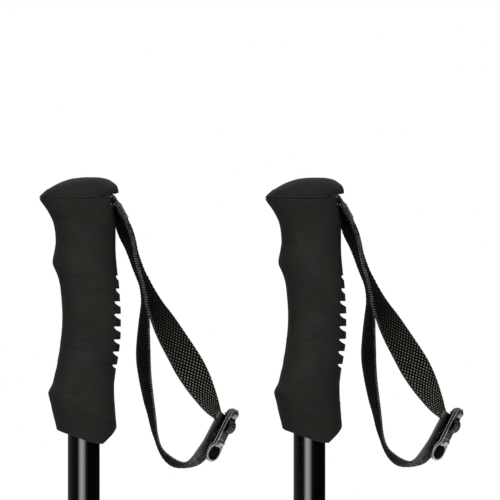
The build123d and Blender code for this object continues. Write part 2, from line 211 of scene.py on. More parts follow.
def tube_faces(rows, cols, flip=False, looped=False):
    """Quads over rings of vertices; looped also joins the last ring to the first."""
    out = []
    for row in range(rows if looped else rows - 1):
        following = (row + 1) % rows
        for col in range(cols):
            beside = (col + 1) % cols
            a, b = row * cols + col, row * cols + beside
            c, d = following * cols + beside, following * cols + col
            out.append((a, d, c, b) if flip else (a, b, c, d))
    return out


def capped_tube_faces(rows, cols, flip=False):
    first = list(range(cols))
    last = list(range((rows - 1) * cols, rows * cols))
    ends = [first, last[::-1]] if flip else [first[::-1], last]
    return tube_faces(rows, cols, flip) + ends


def joined(parts):
    """One shape from several (vertices, faces[, UVs])."""
    faces, start = [], 0
    for part in parts:
        faces += [tuple(i + start for i in face) for face in part[1]]
        start += len(part[0])
    columns = list(zip(*parts))
    return (np.concatenate(columns[0]), faces, *map(np.concatenate, columns[2:]))


def ring_at(x, y, z):
    return np.stack([x, y, np.full_like(x, z)], 1)


def circle(radius, angles, z):
    return ring_at(radius * np.cos(angles), radius * np.sin(angles), z)


def angles_of(ring):
    return np.arctan2(ring[:, 1], ring[:, 0])


# ---------------------------------------------------------------------------
# node builders
# ---------------------------------------------------------------------------
def rgba(value):
    """A grey level or an RGB colour with alpha added."""
    if not isinstance(value, (tuple, list)):
        value = (value, value, value)
    return (*value, 1.0)


def scaled(color, factor):
    return tuple(channel * factor for channel in color)


class Nodes:
    """Adds nodes to a tree; any input takes a number, a colour or another node's output."""

    def __init__(self, tree):
        self.tree = tree

    def feed(self, socket, value):
        if isinstance(value, bpy.types.NodeSocket):
            self.tree.links.new(value, socket)
        else:
            socket.default_value = value

    def node(self, kind, inputs=None, **settings):
        node = self.tree.nodes.new(kind)
        for name, value in settings.items():
            setattr(node, name, value)
        for key, value in (inputs or {}).items():
            self.feed(node.inputs[key], value)
        return node

    def math(self, operation, *values):
        inputs = dict(enumerate(values))
        return self.node("ShaderNodeMath", inputs, operation=operation).outputs[0]

    def add(self, a, b):
        return self.math("ADD", a, b)

    def mul(self, a, b):
        return self.math("MULTIPLY", a, b)

    def azimuth(self, sideways, nearward):
        """Direction round Z as 0..1, with 0.5 towards the camera and rising towards +X."""
        angle = self.math("ARCTAN2", sideways, nearward)
        return self.add(self.math("DIVIDE", angle, TURN), 0.5)

    def separate(self, vector):
        return self.node("ShaderNodeSeparateXYZ", {0: vector}).outputs

    def ramp(self, factor, stops, mode="LINEAR"):
        """Stops are (position, grey level or colour)."""
        node = self.node("ShaderNodeValToRGB", {0: factor})
        node.color_ramp.interpolation = mode
        elements = node.color_ramp.elements
        while len(elements) < len(stops):
            elements.new(0.5)
        for i, (position, color) in enumerate(stops):
            elements[i].position = position
            elements[i].color = rgba(color)
        return node.outputs[0]

    def mix(self, factor, a, b, amount=None, blend="MIX"):
        """Mixes a with b; amount scales the factor."""
        if amount is not None:
            factor = self.mul(factor, amount)
        a, b = (v if isinstance(v, bpy.types.NodeSocket) else rgba(v) for v in (a, b))
        inputs = {0: factor, 6: a, 7: b}
        node = self.node("ShaderNodeMix", inputs, data_type="RGBA", blend_type=blend)
        return node.outputs[2]

    def remap(self, value, span=(0.3, 0.7), to=(0.0, 1.0), mode="LINEAR"):
        """Maps a span of values to another; the default span suits noise."""
        inputs = dict(enumerate((value, *span, *to)))
        node = self.node("ShaderNodeMapRange", inputs, interpolation_type=mode)
        return node.outputs[0]


class Surface(Nodes):
    """A material with a Principled shader."""

    INPUTS = {"color": "Base Color", "rough": "Roughness", "metal": "Metallic",
              "normal": "Normal", "coat": "Coat Weight", "coat_rough": "Coat Roughness",
              "sheen": "Sheen Weight", "sheen_rough": "Sheen Roughness",
              "spec": "Specular IOR Level"}

    def __init__(self, name):
        self.material = bpy.data.materials.new(name)
        self.material.use_nodes = True
        super().__init__(self.material.node_tree)
        self.tree.nodes.clear()
        self.output = self.node("ShaderNodeOutputMaterial")
        self.shader = self.node("ShaderNodeBsdfPrincipled")
        self.feed(self.output.inputs[0], self.shader.outputs[0])
        coordinates = self.node("ShaderNodeTexCoord")
        self.coord = coordinates.outputs["Object"]
        self.uv = coordinates.outputs["UV"]

    def set(self, **values):
        for name, value in values.items():
            self.feed(self.shader.inputs[self.INPUTS[name]], value)
        return self.material

    def math(self, operation, a, b=0.0, c=0.0):
        return super().math(operation, a, b, c)

    def weighted(self, *terms):
        """Sum of two (value, weight) terms."""
        return self.add(*[self.mul(value, weight) for value, weight in terms])

    def stretched(self, scale, vector=None):
        inputs = {"Vector": vector or self.coord, "Scale": scale}
        return self.node("ShaderNodeMapping", inputs).outputs[0]

    def noise(self, scale=1.0, detail=3.0, rough=0.5, vector=None):
        inputs = {"Vector": vector or self.coord, "Scale": scale, "Detail": detail,
                  "Roughness": rough}
        return self.node("ShaderNodeTexNoise", inputs).outputs[0]

    def voronoi(self, scale):
        inputs = {"Vector": self.coord, "Scale": scale}
        return self.node("ShaderNodeTexVoronoi", inputs).outputs["Distance"]

    def bump(self, height, distance, strength):
        inputs = {"Strength": strength, "Distance": distance, "Height": height}
        return self.node("ShaderNodeBump", inputs).outputs[0]

    def edge(self, low, high):
        """Rises from 0 to 1 on convex edges."""
        geometry = self.node("ShaderNodeNewGeometry")
        return self.remap(geometry.outputs["Pointiness"], span=(low, high))


# ---------------------------------------------------------------------------
# materials
# ---------------------------------------------------------------------------
WEAVE = 2.6                      # mm between thread dots along a row
WEBBING_LENGTH = 350.0           # mm, nominal


def foam_material():
    m = Surface("grip_foam")
    grain = m.noise(scale=2600, detail=3, rough=0.6)
    cells = m.voronoi(scale=1500)
    cloud = m.noise(scale=38, detail=4, rough=0.55)
    base = m.ramp(cloud, [(0.28, (0.0088, 0.0092, 0.0072)), (0.72, (0.0132, 0.0136, 0.0108))])
    speck = m.ramp(m.noise(scale=900, detail=2), [(0.62, 0), (0.78, (0.008, 0.008, 0.0066))])
    color = m.mix(1.0, base, speck, blend="ADD")
    # faint creases that run round the grip, dented in the bump and darkened with painted shade
    shaded_crease = m.noise(detail=2, vector=m.stretched((42, 42, 640)))
    shaded_crease = m.ramp(shaded_crease, [(0.64, 0.0), (0.74, 1.0)])
    color = m.mix(shaded_crease, color, (0.0028, 0.0029, 0.0022), amount=0.7)
    worn = m.mix(m.edge(low=0.505, high=0.56), color, (0.030, 0.031, 0.026), amount=0.35)
    rough = m.remap(m.noise(scale=60, rough=0.6), to=(0.66, 0.84))
    height = m.weighted((grain, 0.55), (cells, 0.45))
    height = m.math("SUBTRACT", height, m.mul(shaded_crease, 0.8))
    return m.set(color=worn, rough=rough, spec=0.20, sheen=0.015, sheen_rough=0.5,
                 normal=m.bump(height, distance=0.00013, strength=0.75))


def cap_material():
    m = Surface("cap_rubber")
    cloud = m.noise(scale=55, detail=4, rough=0.55)
    base = m.ramp(cloud, [(0.3, (0.0070, 0.0071, 0.0060)), (0.72, (0.0100, 0.0100, 0.0086))])
    worn = m.mix(m.edge(low=0.505, high=0.57), base, (0.030, 0.030, 0.027), amount=0.5)
    height = m.weighted((m.noise(scale=1800, rough=0.6), 0.6), (m.noise(scale=500, detail=2), 0.4))
    rough = m.remap(m.noise(scale=90, rough=0.6), to=(0.54, 0.70))
    return m.set(color=worn, rough=rough, spec=0.14,
                 normal=m.bump(height, distance=0.00009, strength=0.7))


def gloss_black_material():
    m = Surface("upper_tube")
    dust = m.ramp(m.noise(scale=1400, detail=2, rough=0.4), [(0.70, 0.0), (0.80, 1.0)])
    lengthwise = m.stretched((900, 900, 14))
    scratches = m.ramp(m.noise(detail=2, vector=lengthwise), [(0.60, 0.0), (0.74, 1.0)])
    base = m.mix(dust, (0.0007, 0.0007, 0.0009), 0.012, amount=0.10)
    rough = m.remap(m.noise(scale=18), to=(0.085, 0.135))
    rough = m.add(rough, m.mul(scratches, 0.05))
    height = m.noise(detail=2, vector=lengthwise)
    return m.set(color=base, rough=rough, spec=0.5, coat=0.6, coat_rough=0.06,
                 normal=m.bump(height, distance=0.000006, strength=0.4))


def anodised_material(name, color, rough):
    m = Surface(name)
    lines = m.noise(rough=0.6, vector=m.stretched((700, 700, 22)))
    rings = m.noise(detail=2, vector=m.stretched((30, 30, 1500)))
    base = m.mix(m.remap(lines, span=(0.35, 0.65)), color, scaled(color, 1.5))
    return m.set(color=base, metal=0.72, rough=m.remap(rings, to=(rough - 0.05, rough + 0.07)),
                 spec=0.5, normal=m.bump(m.add(lines, rings), distance=0.00001, strength=0.5))


def plastic_grain(m, scale, depth):
    height = m.weighted((m.voronoi(scale), 0.6), (m.noise(scale=scale * 2, detail=2), 0.4))
    return m.bump(height, distance=depth, strength=0.6)


def plastic_material(name, color, rough, grain, depth, wear, wear_amount=0.45):
    """grain is the texture's scale, depth its height in metres, wear the colour of edges."""
    m = Surface(name)
    base = m.mix(m.remap(m.noise(scale=70)), scaled(color, 0.85), scaled(color, 1.15))
    base = m.mix(m.edge(low=0.51, high=0.60), base, wear, amount=wear_amount)
    scuff = m.noise(rough=0.6, vector=m.stretched((260, 260, 60)))
    scuff = m.ramp(scuff, [(0.58, 0.0), (0.70, 1.0)])
    cloudy_rough = m.remap(m.noise(scale=120), to=(rough - 0.05, rough + 0.05))
    return m.set(color=base, rough=m.add(cloudy_rough, m.mul(scuff, 0.08)), spec=0.5,
                 normal=plastic_grain(m, grain, depth))


def steel_material(name, color, rough, metal=1.0):
    m = Surface(name)
    lines = m.noise(rough=0.6, vector=m.stretched((1600, 1600, 120)))
    spots = m.ramp(m.noise(scale=420, rough=0.6), [(0.60, 0.0), (0.75, 1.0)])
    base = m.mix(spots, color, scaled(color, 0.45), amount=0.35)
    return m.set(color=base, metal=metal, rough=m.remap(lines, to=(rough - 0.07, rough + 0.1)),
                 normal=m.bump(lines, distance=0.00001, strength=0.5))


def webbing_material():
    """UVs are mm: u along the webbing from the outer leg's foot, v across it, far edge positive."""
    m = Surface("webbing")
    u, v, _ = m.separate(m.uv)
    wave = TURN / WEAVE
    along = m.math("COSINE", m.mul(u, wave))
    across = m.math("COSINE", m.mul(v, wave))
    dots = m.mul(along, across)                    # staggered thread crossings
    warp = m.math("COSINE", m.mul(v, wave * 4))
    fibre = m.noise(detail=2, rough=0.6, vector=m.stretched((2.2, 16, 1), m.uv))
    thread = m.ramp(dots, [(0.36, 0.0), (0.70, 1.0)])
    # thread dots: the weave pattern is real, their pale colour is painted glints of light, shown
    # most near the buckle and fading towards the head of the strap
    outer_leg_glints = m.remap(u, span=(26.0, 70.0), to=(1.0, 0.035))
    inner_leg_glints = m.remap(u, span=(200.0, 300.0), to=(0.035, 0.17))
    reach = m.math("MAXIMUM", outer_leg_glints, inner_leg_glints)
    cloud = m.noise(scale=26)
    dark = m.ramp(cloud, [(0.3, (0.0012, 0.0012, 0.0009)), (0.7, (0.0026, 0.0025, 0.0019))])
    # painted glints: the pale colour of the thread dots
    light = m.noise(detail=2, vector=m.stretched((0.9, 0.9, 1), m.uv))
    light = m.ramp(light, [(0.3, (0.08, 0.08, 0.064)), (0.7, (0.32, 0.32, 0.26))])
    color = m.mix(m.mul(thread, reach), dark, light)
    # pale selvedge thread along both edges
    rim = m.remap(m.math("ABSOLUTE", v), span=(9.1, 9.8))
    fine = m.math("COSINE", m.mul(u, wave * 1.9))
    fine = m.ramp(m.math("MULTIPLY_ADD", fine, 0.5, 0.5), [(0.50, 0.0), (0.85, 1.0)])
    rim = m.mul(rim, fine)
    patches = m.noise(detail=2, vector=m.stretched((0.25, 0.25, 1), m.uv))
    rim = m.mul(rim, m.ramp(patches, [(0.35, 0.25), (0.60, 1.0)]))
    rim = m.mul(rim, m.remap(u, span=(55.0, 85.0), to=(0.45, 0.9)))
    color = m.mix(rim, color, (0.22, 0.22, 0.20))
    # painted sheen: a soft pale band along the far edge of the inner leg
    painted_sheen = m.mul(m.remap(v, span=(3.0, 10.0)), m.remap(u, span=(175.0, 200.0)))
    painted_sheen = m.mul(m.math("POWER", m.math("MAXIMUM", painted_sheen, 0.0), 2.2), 0.55)
    color = m.mix(painted_sheen, color, (0.10, 0.098, 0.090))
    # and a painted highlight along the near edge where the leg rises to the buckle
    rise = m.remap(u, span=(WEBBING_LENGTH - 38.0, WEBBING_LENGTH - 26.0))
    painted_sheen = m.mul(m.remap(v, span=(-1.0, -6.0)), rise)
    color = m.mix(painted_sheen, color, (0.15, 0.146, 0.140), amount=0.75)
    fibre_shade = m.remap(fibre, span=(0.35, 0.65), to=(0.0, 0.25))
    color = m.mix(fibre_shade, color, (0.004, 0.004, 0.0034))
    height = m.add(m.mul(warp, 0.22), m.weighted((dots, 0.5), (fibre, 0.35)))
    return m.set(color=color, rough=m.remap(thread, span=(0.0, 1.0), to=(0.70, 0.42)),
                 spec=m.remap(thread, span=(0.0, 1.0), to=(0.02, 0.16)),
                 normal=m.bump(height, distance=0.00010, strength=0.7))


def thread_material():
    m = Surface("stitch_thread")
    twists = 9000.0              # radians of twist per metre of height
    twist = m.math("SINE", m.mul(m.separate(m.coord)[2], twists))
    base = m.mix(m.remap(twist, span=(-1.0, 1.0)), (0.09, 0.09, 0.08), (0.26, 0.26, 0.24))
    return m.set(color=base, rough=0.5, spec=0.4, sheen=0.2,
                 normal=m.bump(twist, distance=0.00004, strength=0.6))


def ink_material():
    m = Surface("scale_ink")
    wear = m.ramp(m.noise(scale=700, rough=0.6), [(0.36, 0.10), (0.46, (0.62, 0.62, 0.60))])
    return m.set(color=wear, rough=0.5, spec=0.35,
                 normal=m.bump(m.noise(scale=1500, detail=2), distance=0.00001, strength=0.4))


def buckle_detail_material():
    """U is the distance along the buckle in mm, V is the level of painted highlight on the plastic.
    """
    m = Surface("buckle_detail")
    along, painted_highlight_level, _ = m.separate(m.uv)
    # painted highlight: pale plastic colour where V is high, stronger towards the low end
    low_end = m.remap(along, span=(3.0, -6.0))
    painted_highlight = m.mul(painted_highlight_level, m.math("MULTIPLY_ADD", low_end, 0.45, 0.55))
    painted_highlight.node.use_clamp = True
    cloud = m.noise(scale=160)
    dark = m.ramp(cloud, [(0.3, (0.0040, 0.0044, 0.0040)), (0.7, (0.0070, 0.0075, 0.0070))])
    pale = m.ramp(cloud, [(0.3, (0.30, 0.325, 0.30)), (0.7, (0.42, 0.45, 0.42))])
    scuff = m.noise(rough=0.6, vector=m.stretched((420, 420, 90)))
    scuff = m.ramp(scuff, [(0.56, 0.0), (0.70, 1.0)])
    rough = m.remap(painted_highlight, span=(0.0, 0.12), to=(0.92, 0.34))
    return m.set(color=m.mix(painted_highlight, dark, pale), rough=m.add(rough, m.mul(scuff, 0.08)),
                 spec=m.remap(painted_highlight, span=(0.0, 0.12), to=(0.01, 0.32)),
                 normal=plastic_grain(m, scale=1100, depth=0.00002))


MATERIALS = {
    "grip_foam": foam_material(),
    "cap_rubber": cap_material(),
    "webbing": webbing_material(),
    "thread": thread_material(),
    "ink": ink_material(),
    "upper_tube": gloss_black_material(),
    "lower_tube": anodised_material("lower_tube", color=(0.020, 0.020, 0.022), rough=0.30),
    "buckle_detail": buckle_detail_material(),
}
PLASTICS = {
    # the buckle's pale edge colour is painted highlight along its rails
    "buckle_plastic": dict(color=(0.020, 0.023, 0.0205), rough=0.30, grain=1100, depth=0.00002,
                           wear=(0.13, 0.14, 0.13), wear_amount=0.7),
    "lock_plastic": dict(color=(0.012, 0.012, 0.012), rough=0.48, grain=800, depth=0.00006,
                         wear=0.055),
    "lever_plastic": dict(color=(0.042, 0.044, 0.045), rough=0.38, grain=900, depth=0.00004,
                          wear=0.15),
    "wear_plastic": dict(color=(0.42, 0.41, 0.37), rough=0.42, grain=600, depth=0.00003,
                         wear=(0.55, 0.54, 0.50), wear_amount=0.3),
    "ferrule_plastic": dict(color=(0.010, 0.010, 0.0105), rough=0.52, grain=700, depth=0.00007,
                            wear=(0.06, 0.06, 0.058)),
}
STEELS = {
    "nut_metal": dict(color=(0.50, 0.50, 0.50), rough=0.33),
    "steel": dict(color=(0.55, 0.55, 0.54), rough=0.24),
    "pin_steel": dict(color=(0.030, 0.030, 0.031), rough=0.42, metal=0.8),
    "carbide": dict(color=(0.33, 0.33, 0.34), rough=0.36),
}
for name, look in PLASTICS.items():
    MATERIALS[name] = plastic_material(name, **look)
for name, look in STEELS.items():
    MATERIALS[name] = steel_material(name, **look)

# every CAD node takes its slot's material, but the strap pins are dark steel
slot_of = {part["node"]: part["material_slot"] for part in frame["record"]["subparts"]}
for name, obj in frame["nodes"].items():
    key = "pin_steel" if name.endswith("_strap_pin") else slot_of[name]
    obj.data.materials.clear()
    obj.data.materials.append(MATERIALS[key])

# ---------------------------------------------------------------------------
# grip
# ---------------------------------------------------------------------------
GRIP_TOP = 598.25
SLANT_TOP, SLANT_FOOT = 490.0, 459.9     # rows between these tilt to meet the sloping end
SHAFT_RADIUS = 9.06                      # bore of the grip

# (depth below the top of the cap, x)
FINGER_SIDE = [
    (11.0, -25.0), (12.3, -24.8), (14.0, -23.9), (16.2, -22.25), (18.45, -20.7), (20.7, -19.4),
    (23.0, -18.2), (25.2, -17.3), (28.6, -16.5), (32.0, -16.05), (36.5, -15.85), (39.8, -16.25),
    (43.2, -16.9), (45.5, -17.35), (47.7, -17.6), (49.4, -17.3), (52.2, -16.1), (54.5, -15.1),
    (58.4, -13.9), (61.8, -13.25), (66.3, -12.8), (71.9, -12.35), (77.5, -12.1), (82.6, -12.2),
    (87.1, -12.5), (91.6, -13.05), (97.2, -13.7), (102.8, -14.7), (106.2, -15.2),
    (109.6, -16.05), (113.0, -16.85), (115.2, -17.35), (117.5, -18.3), (119.7, -19.5),
    (121.4, -20.0), (124.2, -19.45), (127.6, -18.55), (131.0, -17.85), (135.5, -16.75),
    (138.8, -15.9), (141.1, -15.4), (151.0, -14.8)]
PALM_SIDE = [
    (11.0, 16.6), (14.0, 16.6), (17.2, 16.8), (20.7, 17.2), (25.2, 17.8), (32.0, 17.95),
    (37.6, 17.9), (43.2, 18.05), (47.7, 18.4), (52.2, 18.85), (55.6, 19.2), (59.5, 19.8),
    (66.3, 20.3), (69.1, 20.45), (74.7, 20.85), (82.0, 20.9), (88.8, 20.8), (94.4, 20.35),
    (97.8, 19.95), (101.7, 19.35), (105.1, 18.75), (108.5, 18.1), (113.0, 17.5), (117.0, 17.1),
    (122.0, 17.15), (127.6, 17.5), (132.0, 17.8), (136.6, 18.15), (140.0, 18.45), (151.0, 18.6)]
# (depth, half width along Y)
HALF_WIDTH = [
    (11.0, 15.4), (15.0, 15.3), (20.7, 14.9), (27.0, 14.5), (38.0, 14.35), (52.0, 14.7),
    (77.0, 14.85), (97.0, 14.4), (108.0, 14.3), (120.0, 14.9), (129.0, 15.5), (134.0, 15.4),
    (151.0, 13.6)]
# (depth, superellipse power): higher is squarer in plan
FINGER_POWER = [(11.0, 2.9), (20.7, 2.7), (31.9, 2.5), (38.0, 2.4), (151.0, 2.4)]
PALM_POWER = [(11.0, 4.0), (14.0, 4.0), (17.2, 3.8), (20.7, 3.3), (25.2, 2.9), (31.9, 2.5),
              (38.0, 2.4), (151.0, 2.4)]
GRIP_CURVES = [monotone_curve(points)
               for points in (FINGER_SIDE, PALM_SIDE, HALF_WIDTH, FINGER_POWER, PALM_POWER)]

# palm ribs: (z of the flat underside, depth, height of the cut)
RIBS = [(554.6, 1.05, 2.2), (547.3, 1.95, 2.9), (540.15, 3.1, 3.0), (533.1, 3.6, 3.3),
        (526.0, 3.8, 3.3), (518.75, 3.7, 3.1), (511.9, 3.45, 3.2), (504.55, 2.55, 2.5)]
# (share of the cut's height going down, share of its depth)
CUT_SHAPE = monotone_curve([(0.0, 0.93), (0.10, 1.0), (0.22, 0.98), (0.42, 0.84), (0.62, 0.62),
                            (0.82, 0.32), (0.94, 0.08), (1.0, 0.0)])
# moulded grooves on both flanks: (z, start degrees from +X, end degrees, depth)
GROOVES = [(543.0, 70, 122, 0.16), (529.0, 75, 128, 0.16), (553.0, 95, 135, 0.14),
           (517.5, 55, 100, 0.14), (493.0, 20, 110, 0.13), (482.3, -40, 60, 0.12)]
# a crease above the lower flanks, falling from the finger side to the palm side
CREASE_X, CREASE_Z = [-20, -15, -2, 16.5, 19], [487.8, 482.3, 478.2, 474.6, 474.2]
# lower end of the grip: (x, z)
BOTTOM = monotone_curve([(-16.5, 470.2), (-15.6, 468.9), (-14.6, 467.8), (-12.2, 466.7),
                         (-8.9, 465.6), (10.7, 460.1), (12.0, 461.1), (14.2, 463.3),
                         (16.5, 465.8), (18.0, 468.2), (18.8, 470.2)])


def bottom_z(x):
    return BOTTOM(np.clip(x, -16.5, 18.8))


def plan_outline(x_finger, x_palm, half_width, finger_power, palm_power, angles):
    """Superellipse in plan with its own power on each side."""
    cos, sin = np.cos(angles), np.sin(angles)
    power = np.where(cos > 0, palm_power, finger_power)
    middle, half_length = (x_finger + x_palm) / 2, (x_palm - x_finger) / 2
    x = middle + half_length * np.sign(cos) * np.abs(cos) ** (2 / power)
    return x, half_width * np.sign(sin) * np.abs(sin) ** (2 / power)


def even_angles(count, power):
    """Angles that give about even spacing round a rounded plan outline."""
    angles = np.linspace(0, TURN, 4001)
    outline = np.stack(plan_outline(-17.0, 19.0, 14.6, power, power, angles), 1)
    lengths = path_length(outline)
    return np.interp(np.linspace(0, lengths[-1], count + 1)[:-1], lengths, angles)


def grip_heights():
    """Row heights from the top down, closer together over the ribs."""
    heights = list(np.arange(GRIP_TOP, SLANT_TOP, -0.52))
    heights += list(np.linspace(SLANT_TOP, SLANT_FOOT, 62))
    for z, _, height in RIBS:
        heights = [q for q in heights if not z - height - 0.35 < q < z + 0.35]
        heights += [z + 0.30, z + 0.12, z + 0.02, z - 0.02, z - 0.16]
        heights += list(z - height * np.array([0.12, 0.24, 0.38, 0.52, 0.66, 0.80, 0.92, 1.0]))
        heights.append(z - height - 0.3)
    return sorted({round(float(q), 4) for q in heights}, reverse=True)


def cut_ribs(x, z):
    """Saw-tooth ribs on the palm side, their tips slightly rounded."""
    for rib_z, depth, height in RIBS:
        if rib_z - height <= z < rib_z:
            wall = GRIP_CURVES[1](TOP - rib_z) - depth * CUT_SHAPE((rib_z - z) / height)
            x = np.where(x > wall, wall + (x - wall) * 0.02, x)
    tip_reach = 0.25
    near = min(abs(z - rib[0] - 0.02) if z >= rib[0] else 9 for rib in RIBS)
    if near < tip_reach:
        x = np.where(x > 6, x - 0.12 * (1 - near / tip_reach), x)
    return x


def press_grooves(x, y, z):
    for groove_z, start, end, depth in GROOVES:
        strength = math.exp(-(((z - groove_z) / 0.55) ** 2))
        if strength > 0.02:
            degrees = np.degrees(np.arctan2(y, x))
            reach = 0.0
            for sign in (1, -1):
                d = degrees * sign
                fade = smoothstep(start - 8, start + 6, d) * (1 - smoothstep(end - 6, end + 8, d))
                reach = np.maximum(reach, fade)
            radius = np.hypot(x, y)
            shrink = (radius - depth * strength * reach) / radius
            x, y = x * shrink, y * shrink
    return x, y


def grip_row(z, angles):
    level = np.full(len(angles), z)
    # lower rows follow the slanted end, so outline and height are settled together
    for _ in range(4):
        x, y = plan_outline(*(curve(TOP - level) for curve in GRIP_CURVES), angles)
        if z < SLANT_TOP:
            share = (SLANT_TOP - z) / (SLANT_TOP - SLANT_FOOT)
            level = SLANT_TOP + (bottom_z(x) - SLANT_TOP) * share
    # lower flanks lean in below the crease
    below = np.clip(np.interp(x, CREASE_X, CREASE_Z) - level, 0, 40)
    lean = np.where(below < 0.8, below**2 / 1.6, below - 0.4)
    inward = np.minimum(lean * 0.20, np.abs(y) * 0.35)
    y = y - np.sign(y) * inward * smoothstep(0.0, 5.0, np.abs(y))
    x, y = press_grooves(cut_ribs(x, z), y, z)
    return np.stack([x, y, level], 1)


def drawn_in(ring, inset, least=0.0):
    """The ring moved towards the axis, but no nearer than the least radius."""
    radius = np.hypot(ring[:, 0], ring[:, 1])
    ring = ring.copy()
    ring[:, :2] *= (np.maximum(radius - inset, least) / radius)[:, None]
    return ring


def grip_shape():
    angles = even_angles(208, power=2.4)
    body = np.array([grip_row(z, angles) for z in grip_heights()])
    rim, foot = body[0].copy(), body[-1].copy()
    # rounded lip at the top: (inset, drop)
    top_rings = []
    for inset, drop in ((0.9, 0.0), (0.45, 0.12), (0.12, 0.42)):
        ring = drawn_in(rim, inset)
        ring[:, 2] = GRIP_TOP - drop
        top_rings.append(ring)
    rim_angles = angles_of(rim)
    bore = circle(SHAFT_RADIUS, rim_angles, GRIP_TOP)
    # the body starts just below the lip
    body[0][:, 2] = GRIP_TOP - 0.9
    body = body[body[:, 0, 2] <= GRIP_TOP - 0.85]
    # rounded lip at the end: (inset, rise above the end's outline)
    low_rings = []
    for inset, rise in ((0.25, 0.07), (0.8, -0.01), (1.6, -0.04)):
        ring = drawn_in(foot, inset, least=9.3)
        ring[:, 2] = bottom_z(ring[:, 0]) + rise
        low_rings.append(ring)
    # across the sloping end face, then up the bore
    foot_angles = angles_of(foot)
    low_bore = circle(9.35, foot_angles, BOTTOM(9.35 * np.cos(foot_angles)) + 0.25)
    inside = [circle(SHAFT_RADIUS, foot_angles, low_bore[:, 2] + 0.8),
              circle(SHAFT_RADIUS, foot_angles, 480.0),
              circle(SHAFT_RADIUS, rim_angles, 590.0)]
    rows = [bore, (bore + top_rings[0]) / 2, *top_rings, *body, *low_rings, low_bore, *inside]
    return np.concatenate(rows), tube_faces(len(rows), len(angles), flip=True, looped=True)


# ---------------------------------------------------------------------------
# cap
# ---------------------------------------------------------------------------
# (height above the grip, finger side x, palm side x, half width, finger power, palm power)
CAP_ROWS = [
    (-0.4, -24.6, 17.6, 15.2, 2.9, 4.0), (0.0, -24.95, 17.95, 15.45, 2.9, 4.0),
    (0.5, -24.95, 18.2, 15.6, 2.9, 4.0), (1.8, -24.1, 19.0, 15.65, 2.9, 4.0),
    (3.45, -22.35, 19.6, 15.5, 2.9, 4.0), (4.6, -21.05, 19.5, 15.2, 2.9, 3.8),
    (5.7, -19.0, 19.15, 14.7, 2.8, 3.6), (6.85, -17.1, 18.7, 14.0, 2.7, 3.3),
    (7.95, -15.05, 17.7, 13.0, 2.6, 3.0), (9.1, -12.6, 16.2, 11.6, 2.5, 2.8),
    (10.2, -9.4, 14.5, 9.7, 2.4, 2.5), (11.07, -6.3, 12.2, 7.3, 2.3, 2.4),
    (11.69, -1.0, 8.6, 4.2, 2.2, 2.2)]
CAP_HEIGHT = CAP_ROWS[-1][0]
SKIRT_RADIUS, SKIRT_FOOT = 8.95, 591.0


def cap_shape():
    curves = [monotone_curve([(row[0], row[k]) for row in CAP_ROWS]) for k in range(1, 6)]
    angles = even_angles(168, power=3.0)
    heights = [0.12, *np.linspace(0.5, 10.2, 46), *np.linspace(10.4, CAP_HEIGHT, 16)]
    rings = []
    for height in heights:
        x, y = plan_outline(*(curve(height) for curve in curves), angles)
        rings.append(ring_at(x, y, GRIP_TOP + height))
    # crown: (share of the last ring's size, rise above it)
    last = rings[-1]
    middle = last.mean(0)
    for share, rise in ((0.72, 0.045), (0.45, 0.08), (0.2, 0.1)):
        ring = middle + (last - middle) * share
        ring[:, 2] = GRIP_TOP + CAP_HEIGHT + rise
        rings.append(ring)
    # underside: a flat face, then a skirt down inside the bore
    first = rings[0]
    under_z = GRIP_TOP + 0.02
    under_rim = ring_at(first[:, 0] * 0.975, first[:, 1] * 0.965, under_z)
    bore_angles = angles_of(first)
    rows = [circle(SKIRT_RADIUS, bore_angles, SKIRT_FOOT),
            circle(SKIRT_RADIUS, bore_angles, under_z), under_rim, *rings]
    centres = [[0.0, 0.0, SKIRT_FOOT], [middle[0], middle[1], GRIP_TOP + 11.80]]
    verts = np.concatenate(rows + [np.array(centres)])
    cols = len(angles)
    faces = tube_faces(len(rows), cols)
    bottom, top = len(verts) - 2, len(verts) - 1
    last_row = (len(rows) - 1) * cols
    for k in range(cols):
        beside = (k + 1) % cols
        faces.append((bottom, beside, k))
        faces.append((top, last_row + k, last_row + beside))
    return verts, faces


# ---------------------------------------------------------------------------
# pocket for the strap, cut through the palm side of the grip and the cap
# ---------------------------------------------------------------------------
POCKET_Y = (-10.5, 10.5)
# boxes cut away: (x range, y range, z range, bevel)
GRIP_CUTS = [((9.4, 30), POCKET_Y, (593.4, 605), 0.5)]
CAP_CUTS = [((10.2, 15.6), (12.0, 20), (585, 600.6), 0.2),
            ((10.2, 15.6), (-20, -12.0), (585, 600.6), 0.2),
            ((15.4, 30), (-20, 20), (585, 600.6), 0.2),
            ((9.4, 17.9), POCKET_Y, (585, 603.3), 0.5),
            ((17.0, 30), POCKET_Y, (585, 600.95), 0.5)]
CAP_CUTS[-1] = CAP_CUTS[-1][:3] + (0.0,)  # the last box keeps its sharp edges


def cutter_box(*ranges, bevel):
    bm = bmesh.new()
    bmesh.ops.create_cube(bm, size=1.0)
    for vert in bm.verts:
        vert.co = Vector([(a + b) / 2 + c * (b - a) for (a, b), c in zip(ranges, vert.co)])
    if bevel:
        bmesh.ops.bevel(bm, geom=list(bm.edges), offset=bevel, segments=3, profile=0.5,
                        affect="EDGES")
    mesh = bpy.data.meshes.new("cutter")
    bm.to_mesh(mesh)
    bm.free()
    return linked("cutter", mesh)


def cut(shape, boxes, name):
    """The shape with boxes cut from it."""
    cutters = [cutter_box(*ranges, bevel=bevel) for *ranges, bevel in boxes]
    obj = linked(name, new_mesh(name, *shape))
    for cutter in cutters:
        modifier = obj.modifiers.new("cut", "BOOLEAN")
        modifier.operation = "DIFFERENCE"
        modifier.solver = "EXACT"
        modifier.object = cutter
    bpy.context.view_layer.update()
    mesh = applied(obj)
    bm = bmesh.new()
    bm.from_mesh(mesh)
    bmesh.ops.remove_doubles(bm, verts=bm.verts[:], dist=0.002)
    bmesh.ops.dissolve_degenerate(bm, edges=bm.edges[:], dist=0.001)
    bm.to_mesh(mesh)
    bm.free()
    for temporary in [obj] + cutters:
        bpy.data.objects.remove(temporary, do_unlink=True)
    return shape_of(mesh)


